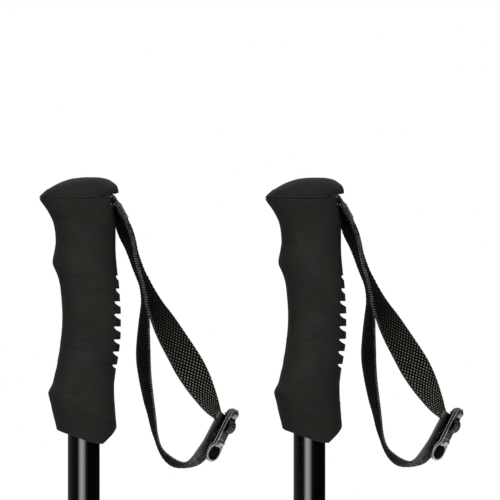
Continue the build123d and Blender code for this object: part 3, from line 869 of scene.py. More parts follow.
def shade_sharp(obj, degrees):
    """Sharp edges above an angle, smooth elsewhere."""
    bm = bmesh.new()
    bm.from_mesh(obj.data)
    limit = math.radians(degrees)
    for edge in bm.edges:
        edge.smooth = not (len(edge.link_faces) == 2 and edge.calc_face_angle(0.0) > limit)
    for face in bm.faces:
        face.smooth = True
    bm.to_mesh(obj.data)
    bm.free()


grip = cut(grip_shape(), GRIP_CUTS, "grip_raw")
cap = cut(cap_shape(), CAP_CUTS, "cap_raw")
# (name, shape, material, CAD node it replaces)
HANDLE_PARTS = [("_grip_foam", grip, "grip_foam", "_grip"),
                ("_cap", cap, "cap_rubber", "_head_cap")]
for side in POLES:
    for suffix, shape, key, replaced in HANDLE_PARTS:
        obj = add_part(side + suffix, shape, side, side + "_handle", key, key, side + replaced)
        shade_sharp(obj, degrees=38)

# ---------------------------------------------------------------------------
# webbing: up the outer leg, round the pin in the grip, down the inner leg to the buckle
# ---------------------------------------------------------------------------
PIN_X, PIN_Z, PIN_RADIUS = 13.0, 596.6, 1.3
PIN_GAP = 0.12
WEB_WIDTH, WEB_THICK = 20.0, 1.35
CUP = 0.15                       # how far the edges curl back from the outer face

# both legs from the top down: (near edge x, near edge z, far edge x, far edge z)
INNER_LEG = [
    (18.10, 594.60, 16.68, 593.80), (20.35, 589.40, 17.47, 587.90), (22.95, 584.41, 18.14, 581.99),
    (25.35, 578.62, 20.28, 576.02), (26.90, 572.93, 22.98, 570.85), (28.00, 566.46, 25.45, 565.11),
    (29.45, 560.39, 27.50, 559.43), (30.95, 554.88, 29.60, 554.26), (32.10, 550.38, 31.30, 550.09),
    (33.05, 545.76, 32.25, 545.71), (34.10, 539.63, 32.60, 539.52), (35.45, 534.17, 31.92, 534.46),
    (36.35, 528.55, 31.19, 529.11), (36.80, 522.92, 30.52, 523.49), (36.98, 517.30, 29.95, 517.69),
    (37.15, 511.67, 29.56, 511.67), (37.27, 506.05, 29.84, 505.21), (37.55, 500.42, 30.74, 499.13),
    (38.00, 494.80, 31.81, 493.22), (38.62, 489.17, 33.05, 487.60), (39.29, 483.55, 34.40, 482.09),
    (39.97, 477.92, 36.03, 476.80), (40.53, 472.86, 37.27, 471.74), (40.98, 467.80, 38.56, 466.79),
    (41.77, 463.30, 40.19, 462.46), (42.89, 459.36, 41.54, 458.35), (44.69, 456.38, 43.12, 454.64),
    (47.39, 453.96, 45.37, 451.04), (50.48, 451.71, 48.68, 447.94), (53.86, 450.02, 52.23, 446.65),
    (56.73, 449.24, 56.28, 446.59), (59.37, 450.59, 60.78, 447.10), (61.73, 453.17, 65.11, 448.51),
    (63.70, 455.99, 68.60, 451.60), (65.73, 458.91, 71.60, 454.30), (67.75, 461.95, 73.60, 457.60),
    (72.00, 470.05, 77.80, 465.80), (76.30, 478.10, 82.30, 474.90)]
OUTER_LEG = [
    (18.75, 595.60, 19.00, 595.80), (21.40, 590.30, 21.75, 590.50), (24.10, 585.40, 24.50, 585.60),
    (26.55, 580.02, 27.00, 580.30), (28.35, 573.61, 28.80, 573.77), (29.55, 567.14, 30.10, 567.36),
    (30.90, 561.12, 32.05, 561.68), (32.25, 555.61, 34.15, 556.56), (33.45, 551.05, 36.40, 552.51),
    (34.62, 546.38, 38.65, 548.29), (35.75, 540.08, 42.10, 542.72), (36.92, 534.17, 45.14, 538.39),
    (38.45, 528.27, 48.52, 534.17), (40.68, 522.36, 52.17, 529.22), (43.17, 516.74, 55.83, 523.88),
    (46.15, 510.94, 59.48, 518.54), (49.08, 505.26, 63.14, 513.08), (52.06, 499.64, 66.85, 507.17),
    (55.43, 494.46, 69.78, 501.27), (59.09, 489.40, 72.14, 495.36), (63.03, 484.67, 73.94, 489.74),
    (66.97, 480.17, 75.52, 484.34), (70.45, 476.91, 76.53, 479.84), (72.60, 475.50, 77.10, 477.60),
    (75.00, 473.60, 78.90, 475.90)]
# over into the pocket, and out of it again below the pin: same columns
INTO_POCKET = [(17.75, 597.7, 17.8, 597.8), (17.0, 599.2, 17.0, 599.3),
               (16.0, 600.15, 16.0, 600.2), (14.7, 600.0, 14.7, 600.0)]
OUT_OF_POCKET = [(14.8, 594.65, 14.8, 594.65), (16.4, 594.95, 16.1, 594.55)]
# where the legs run side by side: z, and the share of the near edge's shift
SHIFT_Z = [524, 534, 548, 556, 574, 580, 591, 594]
SHIFT_SHARE = [0, 1.0, 0.9, 0.6, 0.6, 0.8, 0.8, 0.3]


def near_edge_shifted(rows, shift):
    return [(x + shift * float(np.interp(z, SHIFT_Z, SHIFT_SHARE)), z, far_x, far_z)
            for x, z, far_x, far_z in rows]


def strap_rows():
    rows = near_edge_shifted(OUTER_LEG, -0.1)[::-1] + INTO_POCKET
    radius = PIN_RADIUS + PIN_GAP + WEB_THICK / 2
    for degrees in range(90, 266, 25):
        x = PIN_X + radius * math.cos(math.radians(degrees))
        z = PIN_Z + radius * math.sin(math.radians(degrees))
        rows.append((x, z, x, z))
    return np.array(rows + OUT_OF_POCKET + near_edge_shifted(INNER_LEG, 0.85), float)


class Band:
    """Centre line, direction across, outward normal and length at even steps."""

    def __init__(self, rows, width, step):
        dense = catmull_rom(rows, per_span=24)
        seen = np.hypot(dense[:, 2] - dense[:, 0], dense[:, 3] - dense[:, 1])
        half = np.sqrt(np.maximum(width**2 - seen**2, 1.0)) / 2
        near = np.stack([dense[:, 0], -half, dense[:, 1]], 1)
        far = np.stack([dense[:, 2], half, dense[:, 3]], 1)
        lengths = path_length((near + far) / 2)
        self.length = np.linspace(0, lengths[-1], int(round(lengths[-1] / step)) + 1)
        near = blurred(resampled(self.length, lengths, near), 3)
        far = blurred(resampled(self.length, lengths, far), 3)
        self.middle = (near + far) / 2
        self.across = unit(far - near)
        self.normal = unit(np.cross(self.across, unit(np.gradient(self.middle, axis=0))))

    def at(self, u):
        """Centre, direction across and normal at length u."""
        return [np.array([np.interp(u, self.length, column) for column in values.T])
                for values in (self.middle, self.across, self.normal)]

    def nearest(self, point, before=math.inf):
        """Length at the place nearest a point, kept before a given length."""
        distance = np.linalg.norm(self.middle - np.array(point), axis=1)
        return float(self.length[int(np.argmin(distance + np.where(self.length > before, 99, 0)))])


band = Band(strap_rows(), WEB_WIDTH, step=0.36)
u_end = band.length[-1]
u_pin = band.nearest([PIN_X - 2, 0, PIN_Z])
u_exit = band.nearest([18.6, 0, 597.5], before=u_pin)     # where the outer leg leaves the pocket


def weave_height(u, v):
    wave = TURN / WEAVE
    crossing = np.cos(wave * u) * np.cos(wave * v)
    return np.sign(crossing) * np.abs(crossing) ** 0.8


def cup_depth(v):
    return CUP * (v / (WEB_WIDTH / 2)) ** 2


def webbing_shape():
    """Closed woven band: a finely woven outer face, a plainer inner face, wavy selvedges."""
    half = WEB_WIDTH / 2

    def edge_fade(v):
        return 1 - smoothstep(half - 0.9, half, np.abs(v))

    def face(v, height):
        return (band.middle[:, None, :] + band.across[:, None, :] * v[..., None]
                + band.normal[:, None, :] * height[..., None])

    def half_thick(fade):
        return WEB_THICK / 2 * (0.72 + 0.28 * fade)

    # weave relief: coarse on the outer leg, flat round the pin, fine on the inner leg
    u, v = np.meshgrid(band.length, np.linspace(-half, half, 61), indexing="ij")
    relief = np.where(u < u_pin, 0.16 * smoothstep(0, 6, u_pin - 8 - u),
                      0.05 * smoothstep(8, 20, u - u_pin))
    fade = edge_fade(v)
    height = weave_height(u, v) * relief * (0.35 + 0.65 * fade)
    height = height + 0.10 * smoothstep(half - 2.2, half - 1.5, np.abs(v)) * fade - cup_depth(v)
    outer = face(v, half_thick(fade) + height)
    wobble = band.across * (0.09 * np.cos(TURN * band.length / WEAVE * 1.9))[:, None]
    outer[:, 0, :] -= wobble
    outer[:, -1, :] += wobble

    u_in, v_in = np.meshgrid(band.length, np.linspace(half, -half, 16), indexing="ij")
    height = (0.05 * np.cos(TURN * u_in / WEAVE) + cup_depth(v_in)) * 0.5
    inner = face(v_in, -(half_thick(edge_fade(v_in)) + height))

    rings = np.concatenate([outer, inner], 1)
    uv = np.concatenate([np.stack([u, v], -1), np.stack([u_in, v_in], -1)], 1)
    return rings.reshape(-1, 3), capped_tube_faces(*rings.shape[:2]), uv.reshape(-1, 2)


def tab_layer(u_start, u_stop, lift, thick, scallop, inset=0.0):
    """A sewn layer on the outside of the band, with scalloped edges."""
    lengths = np.arange(u_start, u_stop + 1e-6, 0.3)
    shares = np.linspace(-1, 1, 31)
    half = WEB_WIDTH / 2
    rings = []
    for u in lengths:
        reach = half + 0.25 - inset + scallop * abs(math.sin(math.pi * (u - u_start) / 2.6))
        # narrower where it enters the pocket
        reach = min(reach, float(np.interp(u, [u_exit - 7.0, u_exit - 4.5], [12.0, 10.2])))
        end_fade = min(1.0, min(u - u_start, u_stop - u) / 0.6)
        centre, across, normal = band.at(u)
        v = shares * reach
        raised = WEB_THICK / 2 + lift - cup_depth(np.clip(v, -half, half))
        base = centre + np.outer(v, across) + np.outer(raised, normal)
        fade = 1 - np.abs(shares) ** 14
        height = thick * (0.25 + 0.75 * end_fade) * (0.45 + 0.55 * fade)
        height += 0.05 * math.cos(TURN * u / 0.9) * np.cos(TURN * v / 0.9) * fade
        rings.append(np.concatenate([base + np.outer(height, normal),
                                     (base - normal * 0.05)[::-1]]))
    rings = np.array(rings)
    across_uv = np.concatenate([shares, shares[::-1]]) * half
    uv = np.stack(np.meshgrid(lengths, across_uv, indexing="ij"), -1)
    return rings.reshape(-1, 3), capped_tube_faces(*rings.shape[:2]), uv.reshape(-1, 2)


# ---------------------------------------------------------------------------
# stitches
# ---------------------------------------------------------------------------
def on_band(u, v, lift):
    """Point on the band's outer face and the normal there."""
    centre, across, normal = band.at(u)
    return centre + across * v + normal * (WEB_THICK / 2 + lift - cup_depth(v)), normal


def stitch(start, end, normal, rings=7, sides=6):
    """A small arched capsule of thread."""
    span = end - start
    length = np.linalg.norm(span)
    direction = span / length
    sideways = np.cross(normal, direction)
    verts = []
    for t in np.arange(rings) / (rings - 1):
        arch = math.sin(math.pi * t)
        centre = start + direction * length * t + normal * (0.30 * arch - 0.10)
        radius = 0.24 * (0.55 + 0.45 * arch)
        for angle in TURN * np.arange(sides) / sides:
            spoke = sideways * math.cos(angle) + normal * math.sin(angle)
            verts.append(centre + spoke * radius)
    return np.array(verts), capped_tube_faces(rings, sides)


def stitch_line(start, end, lift, step=1.55):
    """A row of stitches between two (u, v) places."""
    (u0, v0), (u1, v1) = start, end
    count = max(1, int(math.hypot(u1 - u0, v1 - v0) / step))
    out = []
    for k in range(count):
        t0, t1 = k / count, (k + 0.55) / count
        first, first_normal = on_band(u0 + (u1 - u0) * t0, v0 + (v1 - v0) * t0, lift)
        last, last_normal = on_band(u0 + (u1 - u0) * t1, v0 + (v1 - v0) * t1, lift)
        out.append(stitch(first, last, (first_normal + last_normal) / 2))
    return out


def edge_binding():
    """Slanting stitches over both edges of the tab."""
    out = []
    for k in range(8):
        u = u_exit - 12.0 + k * 1.35
        for sign in (-1, 1):
            across = band.at(u)[1]
            start, normal = on_band(u, sign * 9.2, 0.55)
            end, _ = on_band(u + 0.6, sign * 10.0, 0.20)
            end = end + across * sign * (0.55 if u < u_exit - 5.5 else 0.0)
            out.append(stitch(start, end, unit(normal + across * sign)))
    return out


def stitches_shape():
    # a box with a cross in it on the tab
    low, high, half = u_exit - 11.6, u_exit - 3.0, 8.2
    lines = [((low, -half), (high, -half)), ((low, half), (high, half)),
             ((low, -half), (low, half)), ((high, -half), (high, half)),
             ((low, -half), (high, half)), ((low, half), (high, -half))]
    parts = [part for start, end in lines for part in stitch_line(start, end, lift=0.70)]
    parts += edge_binding()
    # a row across the inner leg a little before the buckle
    u_row = u_end - 31.0
    parts += stitch_line((u_row, -8.6), (u_row, 8.6), lift=0.0, step=1.3)
    return joined(parts)


# ---------------------------------------------------------------------------
# buckle axes: u along the buckle (up and towards +X), v across it, w out of its face (+X)
# ---------------------------------------------------------------------------
BUCKLE_CENTRE = np.array([78.2, 0.0, 464.8])
ALONG = unit(np.array([0.447, 0, 0.894]))
ACROSS = unit(0.16 * np.array([ALONG[2], 0, -ALONG[0]]) + 0.987 * np.array([0, 1, 0]))
OUTWARD = unit(np.cross(ACROSS, ALONG))

# path of the webbing wrapped over the bar: (u, w)
WRAP_PATH = [(12.4, -3.0), (10.8, -1.7), (9.7, 0.4), (8.2, 2.2), (5.7, 2.9), (3.2, 2.1),
             (2.1, 0.2), (1.2, -1.8), (-1.5, -3.2), (-6.5, -3.9)]
# folded layers inside the wrap: outline (u, w)
LINING_OUTLINE = [(10.9, -1.5), (9.6, 0.4), (8.1, 2.0), (5.7, 2.6), (3.3, 1.9), (2.2, 0.7),
                  (0.5, 0.75), (-2.6, 0.6), (-2.7, -1.1), (1.0, -2.3), (6.0, -2.3), (9.5, -2.2)]
# folded webbing packed between the two legs at the pocket: outline (x, z)
FOLD_OUTLINE = [(14.4, 594.3), (15.1, 593.65), (16.5, 593.5), (18.0, 592.6), (19.8, 588.8),
                (21.5, 585.6), (22.5, 585.0), (22.8, 585.6), (21.4, 588.9), (19.7, 592.0),
                (18.4, 594.8), (17.2, 597.4), (16.2, 598.9), (14.9, 598.9)]
FOLD_U = 150.0                   # webbing texture place used for the folded layers


def in_buckle(u, v, w):
    """Points from places in the buckle's axes; v may be one number for all."""
    return BUCKLE_CENTRE + np.outer(u, ALONG) + np.outer(v, ACROSS) + np.outer(w, OUTWARD)


def wrap_shape():
    """A ribbed band of webbing along the wrap path."""
    width, thick, step, cols = 19.6, 1.2, 0.3, 44
    rib_height, rib_pitch = 0.16, 1.5
    dense = catmull_rom(WRAP_PATH, per_span=16)
    lengths = path_length(dense)
    at = np.linspace(0, lengths[-1], int(lengths[-1] / step) + 1)
    path = resampled(at, lengths, dense)
    tangent = unit(np.gradient(path, axis=0))
    v = np.linspace(-width / 2, width / 2, cols)
    fade = 1 - np.abs(v / (width / 2)) ** 16
    half_thick = thick / 2 * (0.5 + 0.5 * fade)
    rings, uv = [], []
    for length, (u, w), (tangent_u, tangent_w) in zip(at, path, tangent):
        height = half_thick + rib_height * np.cos(TURN * length / rib_pitch) * fade
        height = height + 0.05 * weave_height(length, v) * fade
        outer = in_buckle(u - tangent_w * height, v, w + tangent_u * height)
        inner = in_buckle(u + tangent_w * half_thick, v, w - tangent_u * half_thick)
        rings.append(np.concatenate([outer, inner[::-1]]))
        uv += [(length, q) for q in (*v, *v[::-1])]
    faces = capped_tube_faces(len(rings), 2 * cols, flip=True)
    return np.concatenate(rings), faces, np.array(uv)


def swept(outline, stations, end_scale, place, texture_u, flip=False):
    """An outline carried across the stations and drawn in at both ends."""
    outline = np.array(outline, float)
    centre = outline.mean(0)
    rows, uv = [], []
    for i, v in enumerate(stations):
        scale = end_scale if i in (0, len(stations) - 1) else 1.0
        points = centre + (outline - centre) * scale
        rows.append(place(points, v))
        u = texture_u(points)
        uv.append(np.stack([FOLD_U + u, np.full(len(u), v * 0.9)], 1))
    faces = capped_tube_faces(len(rows), len(outline), flip)
    return np.concatenate(rows), faces, np.concatenate(uv)


def fold_shape():
    return swept(
        FOLD_OUTLINE, [-9.75, *np.linspace(-9.6, 9.6, 33), 9.75], 0.93,
        place=lambda points, y: np.insert(points, 1, y, axis=1),
        texture_u=lambda points: np.arange(len(points)) * 1.3)


def lining_shape():
    half = 9.7
    return swept(
        LINING_OUTLINE, [-half, *np.linspace(-half + 0.25, half - 0.25, 30), half], 0.94,
        place=lambda points, v: in_buckle(points[:, 0], v, points[:, 1]),
        texture_u=lambda points: points[:, 0], flip=True)


# ---------------------------------------------------------------------------
# buckle
# ---------------------------------------------------------------------------
# cross-section of the rim: (distance in from its edge, w)
RIM_PROFILE = [(0.5, -0.9), (0.10, -0.86), (0.0, -0.70), (0.05, -0.54), (0.36, -0.40),
               (0.36, 0.40), (0.05, 0.54), (0.0, 0.70), (0.10, 0.86), (0.5, 0.9), (2.1, 0.9),
               (2.5, 0.75), (2.6, 0.45), (2.6, -0.45), (2.5, -0.75), (2.1, -0.9)]
# barrel bars: (u, w, radius along u, radius along w, half length, level of painted highlight, power
# of the end taper)
BARS = [(13.2, -0.45, 2.8, 2.6, 10.9, 0.20, 5), (15.0, -0.3, 1.0, 0.85, 9.0, 0.14, 8),
        (11.7, -0.3, 1.0, 0.80, 11.0, 0.0, 8), (-4.6, 0.3, 1.9, 1.9, 11.2, 0.20, 6),
        (-2.7, 0.0, 1.0, 0.85, 11.0, 0.15, 8), (-6.3, 0.0, 1.0, 0.85, 11.0, 0.22, 8),
        (5.2, 0.0, 0.85, 0.85, 11.2, 0.0, 8)]
LIP_POINTS = 96
LIP_U = -10.9                    # middle of the lower opening


def rounded_loop(half_length, half_width, low_radius, top_radius, step=0.35):
    """Closed (u, v) outline with its own corner radius at the low and the top end."""
    points = []
    corners = [(1, 1, top_radius), (-1, 1, low_radius), (-1, -1, low_radius), (1, -1, top_radius)]
    for quarter, (sign_u, sign_v, radius) in enumerate(corners):
        u = sign_u * (half_length - radius)
        v = sign_v * (half_width - radius)
        count = max(6, int(math.pi / 2 * radius / step))
        for k in range(count + 1):
            angle = math.pi / 2 * (quarter + k / count)
            points.append((u + radius * math.cos(angle), v + radius * math.sin(angle)))
    points = np.array(points + [points[0]])
    lengths = path_length(points)
    at = np.linspace(0, lengths[-1], int(lengths[-1] / step) + 1)[:-1]
    return resampled(at, lengths, points)


def rim_painted_highlight(inset, w):
    """Level of painted highlight: full on the two outer ridges, half on their outer flanks, none in
    the groove, little inside.
    """
    if inset > 1.0:
        return 0.05
    if 0.5 < abs(w) < 0.8 and inset < 0.3:
        return 1.0
    return 0.5 if 0.6 < abs(w) < 0.95 else 0.0


def rim_shape():
    """The frame of the buckle, with a groove round its edge."""
    loop = rounded_loop(half_length=16.3, half_width=13.2, low_radius=9.5, top_radius=8.2)
    tangent = unit(np.roll(loop, -1, 0) - np.roll(loop, 1, 0))
    inward = np.stack([-tangent[:, 1], tangent[:, 0]], 1)
    rows, uv = [], []
    for inset, w in RIM_PROFILE:
        u, v = (loop + inward * inset).T
        # the low end runs in under the raised lip
        low_end = smoothstep(-5.0, -9.0, u)
        rows.append(in_buckle(u, v, w * (1 - 0.5 * low_end) + low_end * (0.104 * v - 0.45)))
        uv.append(np.stack([u, np.full(len(u), rim_painted_highlight(inset, w))], 1))
    faces = tube_faces(len(loop), len(RIM_PROFILE), flip=True, looped=True)
    return np.stack(rows, 1).reshape(-1, 3), faces, np.stack(uv, 1).reshape(-1, 2)


def lip_line():
    """Middle line of the raised lip, standing a little steeper than the plate."""
    angles = np.arange(LIP_POINTS) * TURN / LIP_POINTS
    cos, sin = np.cos(angles), np.sin(angles)
    u = LIP_U + 4.8 * np.sign(cos) * np.abs(cos) ** 0.85
    return np.stack([u, 11.95 * sin - 1.05 * sin**2, 1.2 * sin], 1)


def lip_shape(line, sides=10):
    tangent = unit(np.roll(line, -1, 0) - np.roll(line, 1, 0))
    outward = unit(np.cross(tangent, [0.0, -0.105, 0.9945]))
    upward = np.cross(tangent, outward)
    rings = [line + outward * 0.62 * math.cos(angle) + upward * 0.48 * math.sin(angle)
             for angle in TURN * np.arange(sides) / sides]
    points = np.stack(rings, 1).reshape(-1, 3)
    faces = tube_faces(LIP_POINTS, sides, flip=True, looped=True)
    # the lip carries painted highlight at level 0.75
    return in_buckle(*points.T), faces, np.tile([-8.0, 0.75], (len(points), 1))


def web_shape(line):
    """Dark plate filling the lip."""
    top = np.concatenate([[[LIP_U, 0, 0.12]], line + [0, 0, 0.12]])
    points = np.concatenate([top, top - [0, 0, 0.3]])
    low = len(top)
    faces = []
    for j in range(1, low):
        k = j % LIP_POINTS + 1
        faces += [(0, j, k), (low, low + k, low + j), (j, low + j, low + k, k)]
    return in_buckle(*points.T), faces, np.tile([8.0, 0.0], (len(points), 1))


def bar_shape(u, w, radius_u, radius_w, half, painted_highlight, power):
    """A finely ribbed bar across the buckle with rounded ends."""
    sides = 28
    angles = np.arange(sides) * TURN / sides
    stations = half * np.sin(np.linspace(-math.pi / 2, math.pi / 2, 41))
    rows = []
    for v in stations:
        taper = max(0.02, 1 - min(1.0, abs(v / half) ** power)) ** 0.5
        size = taper * (1 + 0.035 * math.cos(v * TURN / 1.15) * (abs(v) < half - 1.2))
        rows.append(in_buckle(u + radius_u * size * np.cos(angles), v,
                              w + radius_w * size * np.sin(angles)))
    verts = np.concatenate(rows)
    return verts, capped_tube_faces(len(rows), sides), np.tile([u, painted_highlight], (len(verts), 1))


def buckle_shape():
    line = lip_line()
    bars = [bar_shape(*bar) for bar in BARS]
    return joined([rim_shape(), lip_shape(line), web_shape(line), *bars])


tab = joined([
    tab_layer(u_exit - 13.0, u_exit - 1.2, lift=0.0, thick=0.42, scallop=0.55),
    tab_layer(u_exit - 11.2, u_exit - 2.2, lift=0.34, thick=0.36, scallop=0.30, inset=0.9)])
# (name, shape, material, CAD node it replaces)
STRAP_PARTS = [
    ("_strap_fold", fold_shape(), "webbing", None),
    ("_buckle_detail", buckle_shape(), "buckle_detail", "_buckle"),
    ("_strap_webbing", webbing_shape(), "webbing", "_strap"),
    ("_strap_tab", tab, "webbing", None),
    ("_strap_stitches", stitches_shape(), "thread", None),
    ("_strap_wrap", wrap_shape(), "webbing", None),
    ("_strap_lining", lining_shape(), "webbing", None),
]
for side in POLES:
    for suffix, shape, material, replaced in STRAP_PARTS:
        slot = slot_of[side + "_buckle"] if replaced == "_buckle" else "webbing"
        add_part(side + suffix, shape, side, side + "_strap_loop", material, slot,
                 replaced and side + replaced)

# ---------------------------------------------------------------------------
# length scale on the two lower tubes: a tick every 10 mm, a number every 50 mm
# ---------------------------------------------------------------------------
TICK_PITCH, TICKS_PER_NUMBER, FIRST_NUMBER = 10, 5, 100
TICK_START, TICK_END, LONG_TICK_END = -0.42, -0.18, 0.05     # radians from -Y towards +X
TICK_HALF_HEIGHT = 0.3


def tick(radius, end, z):
    """A thin raised patch bent round the tube."""
    n = 5
    angles = np.linspace(TICK_START, end, n)
    verts = np.concatenate([
        ring_at(r * np.sin(angles), -r * np.cos(angles), height)
        for r in (radius + 0.045, radius - 0.02)
        for height in (z - TICK_HALF_HEIGHT, z + TICK_HALF_HEIGHT)])
    faces = []
    for k in range(n - 1):
        faces += [(k, k + 1, n + k + 1, n + k),
                  (2 * n + k, 3 * n + k, 3 * n + k + 1, 2 * n + k + 1),
                  (k, 2 * n + k, 2 * n + k + 1, k + 1),
                  (n + k, n + k + 1, 3 * n + k + 1, 3 * n + k)]
    faces += [(0, n, 3 * n, 2 * n), (n - 1, 3 * n - 1, 4 * n - 1, 2 * n - 1)]
    return verts, faces


def number(text, radius, z):
    """A number wrapped on the tube."""
    curve = bpy.data.curves.new("number", "FONT")
    curve.body = text
    curve.size = 4.6
    curve.align_x = "LEFT"
    curve.align_y = "CENTER"
    curve.extrude = 0.03
    curve.resolution_u = 3
    obj = linked("number", curve)
    bpy.context.view_layer.update()
    flat, faces = shape_of(applied(obj))
    bpy.data.objects.remove(obj, do_unlink=True)
    angles = (flat[:, 0] + 0.9) / radius
    r = radius + 0.012 + flat[:, 2]
    return np.stack([r * np.sin(angles), -r * np.cos(angles), z + flat[:, 1]], 1), faces


def scale_shape(radius, z_top, count):
    parts = []
    for k in range(count):
        end = TICK_END if k % TICKS_PER_NUMBER else LONG_TICK_END
        parts.append(tick(radius, end, z_top - TICK_PITCH * k))
    for k in range(0, count, TICKS_PER_NUMBER):
        parts.append(number(str(FIRST_NUMBER + k), radius, z_top - TICK_PITCH * k))
    return joined(parts)


SCALES = {"_middle": scale_shape(radius=8.0, z_top=530.0, count=31),
          "_lower": scale_shape(radius=7.0, z_top=500.0, count=36)}
for side in POLES:
    for tube, shape in SCALES.items():
        add_part(side + tube + "_scale", shape, side, side + tube, "ink", "lower_tube",
                 smooth=False)

# ---------------------------------------------------------------------------
# floor
# ---------------------------------------------------------------------------
FLOOR_MIDDLE = (0.09, 0.02, 0.0)         # metres, centre of the fade and of the strips of light


def bearing(degrees):
    """Ramp position of a direction: 0 is towards the camera, positive towards +X."""
    return degrees / 360 + 0.5


def by_bearing(stops):
    return [(bearing(degrees), level) for degrees, level in stops]


# brightness of the floor in reflections: (degrees, level)
FLOOR_STRIPS = [(-180, 0.30), (-160, 0.07), (-42, 0.05), (-20, 0.95), (-9, 0.95), (14, 0.05),
                (130, 0.05), (158, 0.85), (170, 0.85), (180, 0.30)]


def floor_material():
    surface = Surface("floor")
    tint = surface.ramp(surface.noise(scale=1.2, detail=2), [(0.3, 0.80), (0.7, 0.84)])
    surface.set(color=tint, rough=0.8, spec=0.1)
    nodes = Nodes(surface.tree)
    position = nodes.node("ShaderNodeNewGeometry").outputs["Position"]
    rays = nodes.node("ShaderNodeLightPath").outputs

    # seen directly, the floor runs out into the white of the backdrop
    distance = nodes.node("ShaderNodeVectorMath", {0: position, 1: FLOOR_MIDDLE},
                          operation="DISTANCE").outputs["Value"]
    fade = nodes.remap(distance, span=(0.12, 0.95), mode="SMOOTHSTEP")
    seen = nodes.mul(fade, rays["Is Camera Ray"])
    white = nodes.node("ShaderNodeEmission", {0: rgba(1.0)}).outputs[0]
    direct = nodes.node("ShaderNodeMixShader", {0: seen, 1: surface.shader.outputs[0], 2: white})

    # in reflections it is dim, with two soft strips of light across it, so gloss black
    # stays black from above
    x, y, _ = nodes.separate(position)
    azimuth = nodes.azimuth(nodes.math("SUBTRACT", x, FLOOR_MIDDLE[0]),
                            nodes.math("SUBTRACT", FLOOR_MIDDLE[1], y))
    strips = nodes.ramp(azimuth, by_bearing(FLOOR_STRIPS), mode="EASE")
    glow = nodes.node("ShaderNodeEmission", {0: strips, "Strength": 2.4})
    both = nodes.node("ShaderNodeMixShader", {0: rays["Is Glossy Ray"], 1: direct.outputs[0],
                                              2: glow.outputs[0]})
    nodes.feed(surface.output.inputs[0], both.outputs[0])
    return surface.material


def add_floor():
    material = floor_material()
    bm = bmesh.new()
    bmesh.ops.create_grid(bm, x_segments=8, y_segments=8, size=3.0)
    mesh = bpy.data.meshes.new("floor")
    bm.to_mesh(mesh)
    bm.free()
    mesh.materials.append(material)
    floor = bpy.data.objects.new("floor", mesh)
    floor.location = (0.09, 0.5, -0.0002)
    bpy.context.scene.collection.objects.link(floor)


# ---------------------------------------------------------------------------
# world, lights and camera
# ---------------------------------------------------------------------------
KEY_STRENGTH, OVERHEAD_STRENGTH = 4.6, 4.0
# brightness round the horizon in reflections and in soft light: (degrees, level)
GLOSSY_HORIZON = [(-180, 0.05), (-140, 0.036), (-100, 0.026), (-62, 0.010), (-42, 0.02),
                  (-19, 1.0), (-10, 1.0), (18, 0.02), (38, 0.002), (150, 0.002), (178, 0.012)]
DIFFUSE_HORIZON = [(-180, 0.7), (-130, 0.25), (-70, 0.25), (-25, 1.05), (20, 1.15), (90, 0.8),
                   (180, 0.7)]
# brightness by height, 0 straight down and 1 straight up: (height, level)
GLOSSY_BAND = [(0.20, 0.0), (0.38, 1.0), (0.68, 1.0), (0.84, 0.25)]
GLOSSY_OVERHEAD = [(0.60, 0.0), (0.74, 0.16), (0.9, 0.24), (1.0, 0.24)]
DIFFUSE_HEIGHT = [(0.0, 0.62), (0.5, 0.82), (1.0, 1.0)]


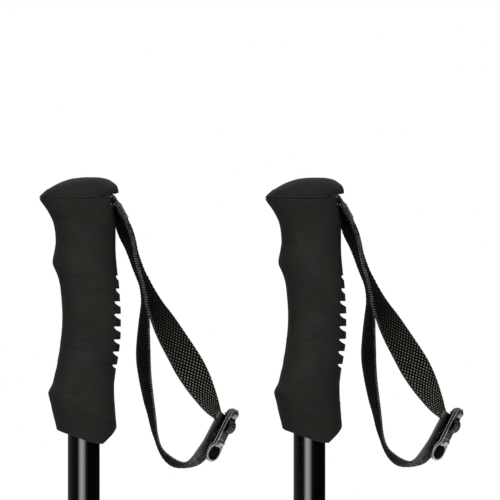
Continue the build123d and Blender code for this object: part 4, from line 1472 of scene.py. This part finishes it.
def build_world():
    """A studio that is white to the camera and shaped for reflections and soft light."""
    world = bpy.data.worlds.new("studio")
    bpy.context.scene.world = world
    world.use_nodes = True
    world.node_tree.nodes.clear()
    nodes = Nodes(world.node_tree)
    x, y, z = nodes.separate(nodes.node("ShaderNodeTexCoord").outputs["Generated"])
    azimuth = nodes.azimuth(x, nodes.mul(y, -1.0))

    def by_height(stops, mode="EASE"):
        return nodes.ramp(nodes.add(nodes.mul(z, 0.5), 0.5), stops, mode)

    horizon = nodes.ramp(azimuth, by_bearing(GLOSSY_HORIZON))
    key = nodes.mul(nodes.mul(horizon, by_height(GLOSSY_BAND)), KEY_STRENGTH)
    glossy = nodes.add(key, nodes.mul(by_height(GLOSSY_OVERHEAD), OVERHEAD_STRENGTH))
    diffuse = nodes.mul(by_height(DIFFUSE_HEIGHT, "LINEAR"),
                        nodes.ramp(azimuth, by_bearing(DIFFUSE_HORIZON)))
    rays = nodes.node("ShaderNodeLightPath").outputs
    light = nodes.mix(rays["Is Glossy Ray"], diffuse, glossy)
    color = nodes.mix(rays["Is Camera Ray"], light, 1.0)
    background = nodes.node("ShaderNodeBackground", {0: color, 1: 1.0})
    nodes.node("ShaderNodeOutputWorld", {0: background.outputs[0]})


def area_light(name, location, target, size, power):
    """A square light, unseen in reflections. Metres and watts."""
    light = bpy.data.lights.new(name, "AREA")
    light.shape = "RECTANGLE"
    light.size = size
    light.size_y = size
    light.energy = power
    obj = linked(name, light)
    obj.location = location
    direction = Vector(target) - Vector(location)
    obj.rotation_euler = direction.to_track_quat("-Z", "Y").to_euler()
    obj.visible_glossy = False


VIEW_WIDTH = 281.25              # mm across the picture at the poles
VIEW_X, VIEW_Z = 93.515625, 569.05       # middle of the view: mm from the left pole, height


def add_camera():
    """A long lens looking level along +Y at the grips."""
    camera = bpy.data.cameras.new("camera")
    camera.sensor_width = 36.0
    camera.lens = 1000.0
    camera.clip_end = 60.0
    distance = VIEW_WIDTH * MM * camera.lens / camera.sensor_width
    obj = linked("camera", camera)
    pole_x, pole_y, _ = POLES["left"]
    obj.location = (pole_x + VIEW_X * MM, pole_y - distance, VIEW_Z * MM)
    obj.rotation_euler = (math.radians(90), 0, 0)
    bpy.context.scene.camera = obj


add_floor()
build_world()
area_light("soft_key", location=(-0.2, -4.0, 1.9), target=(0.09, 0.0, 0.45), size=1.6, power=24)
area_light("soft_top", location=(0.3, -0.3, 2.6), target=(0.09, 0.0, 0.4), size=1.8, power=14)
add_camera()
bpy.context.scene.view_settings.view_transform = "Standard"
bpy.context.scene.view_settings.look = "None"

# objects left in no collection are dropped
for obj in list(bpy.data.objects):
    if not obj.users_collection:
        bpy.data.objects.remove(obj)
bpy.context.view_layer.update()
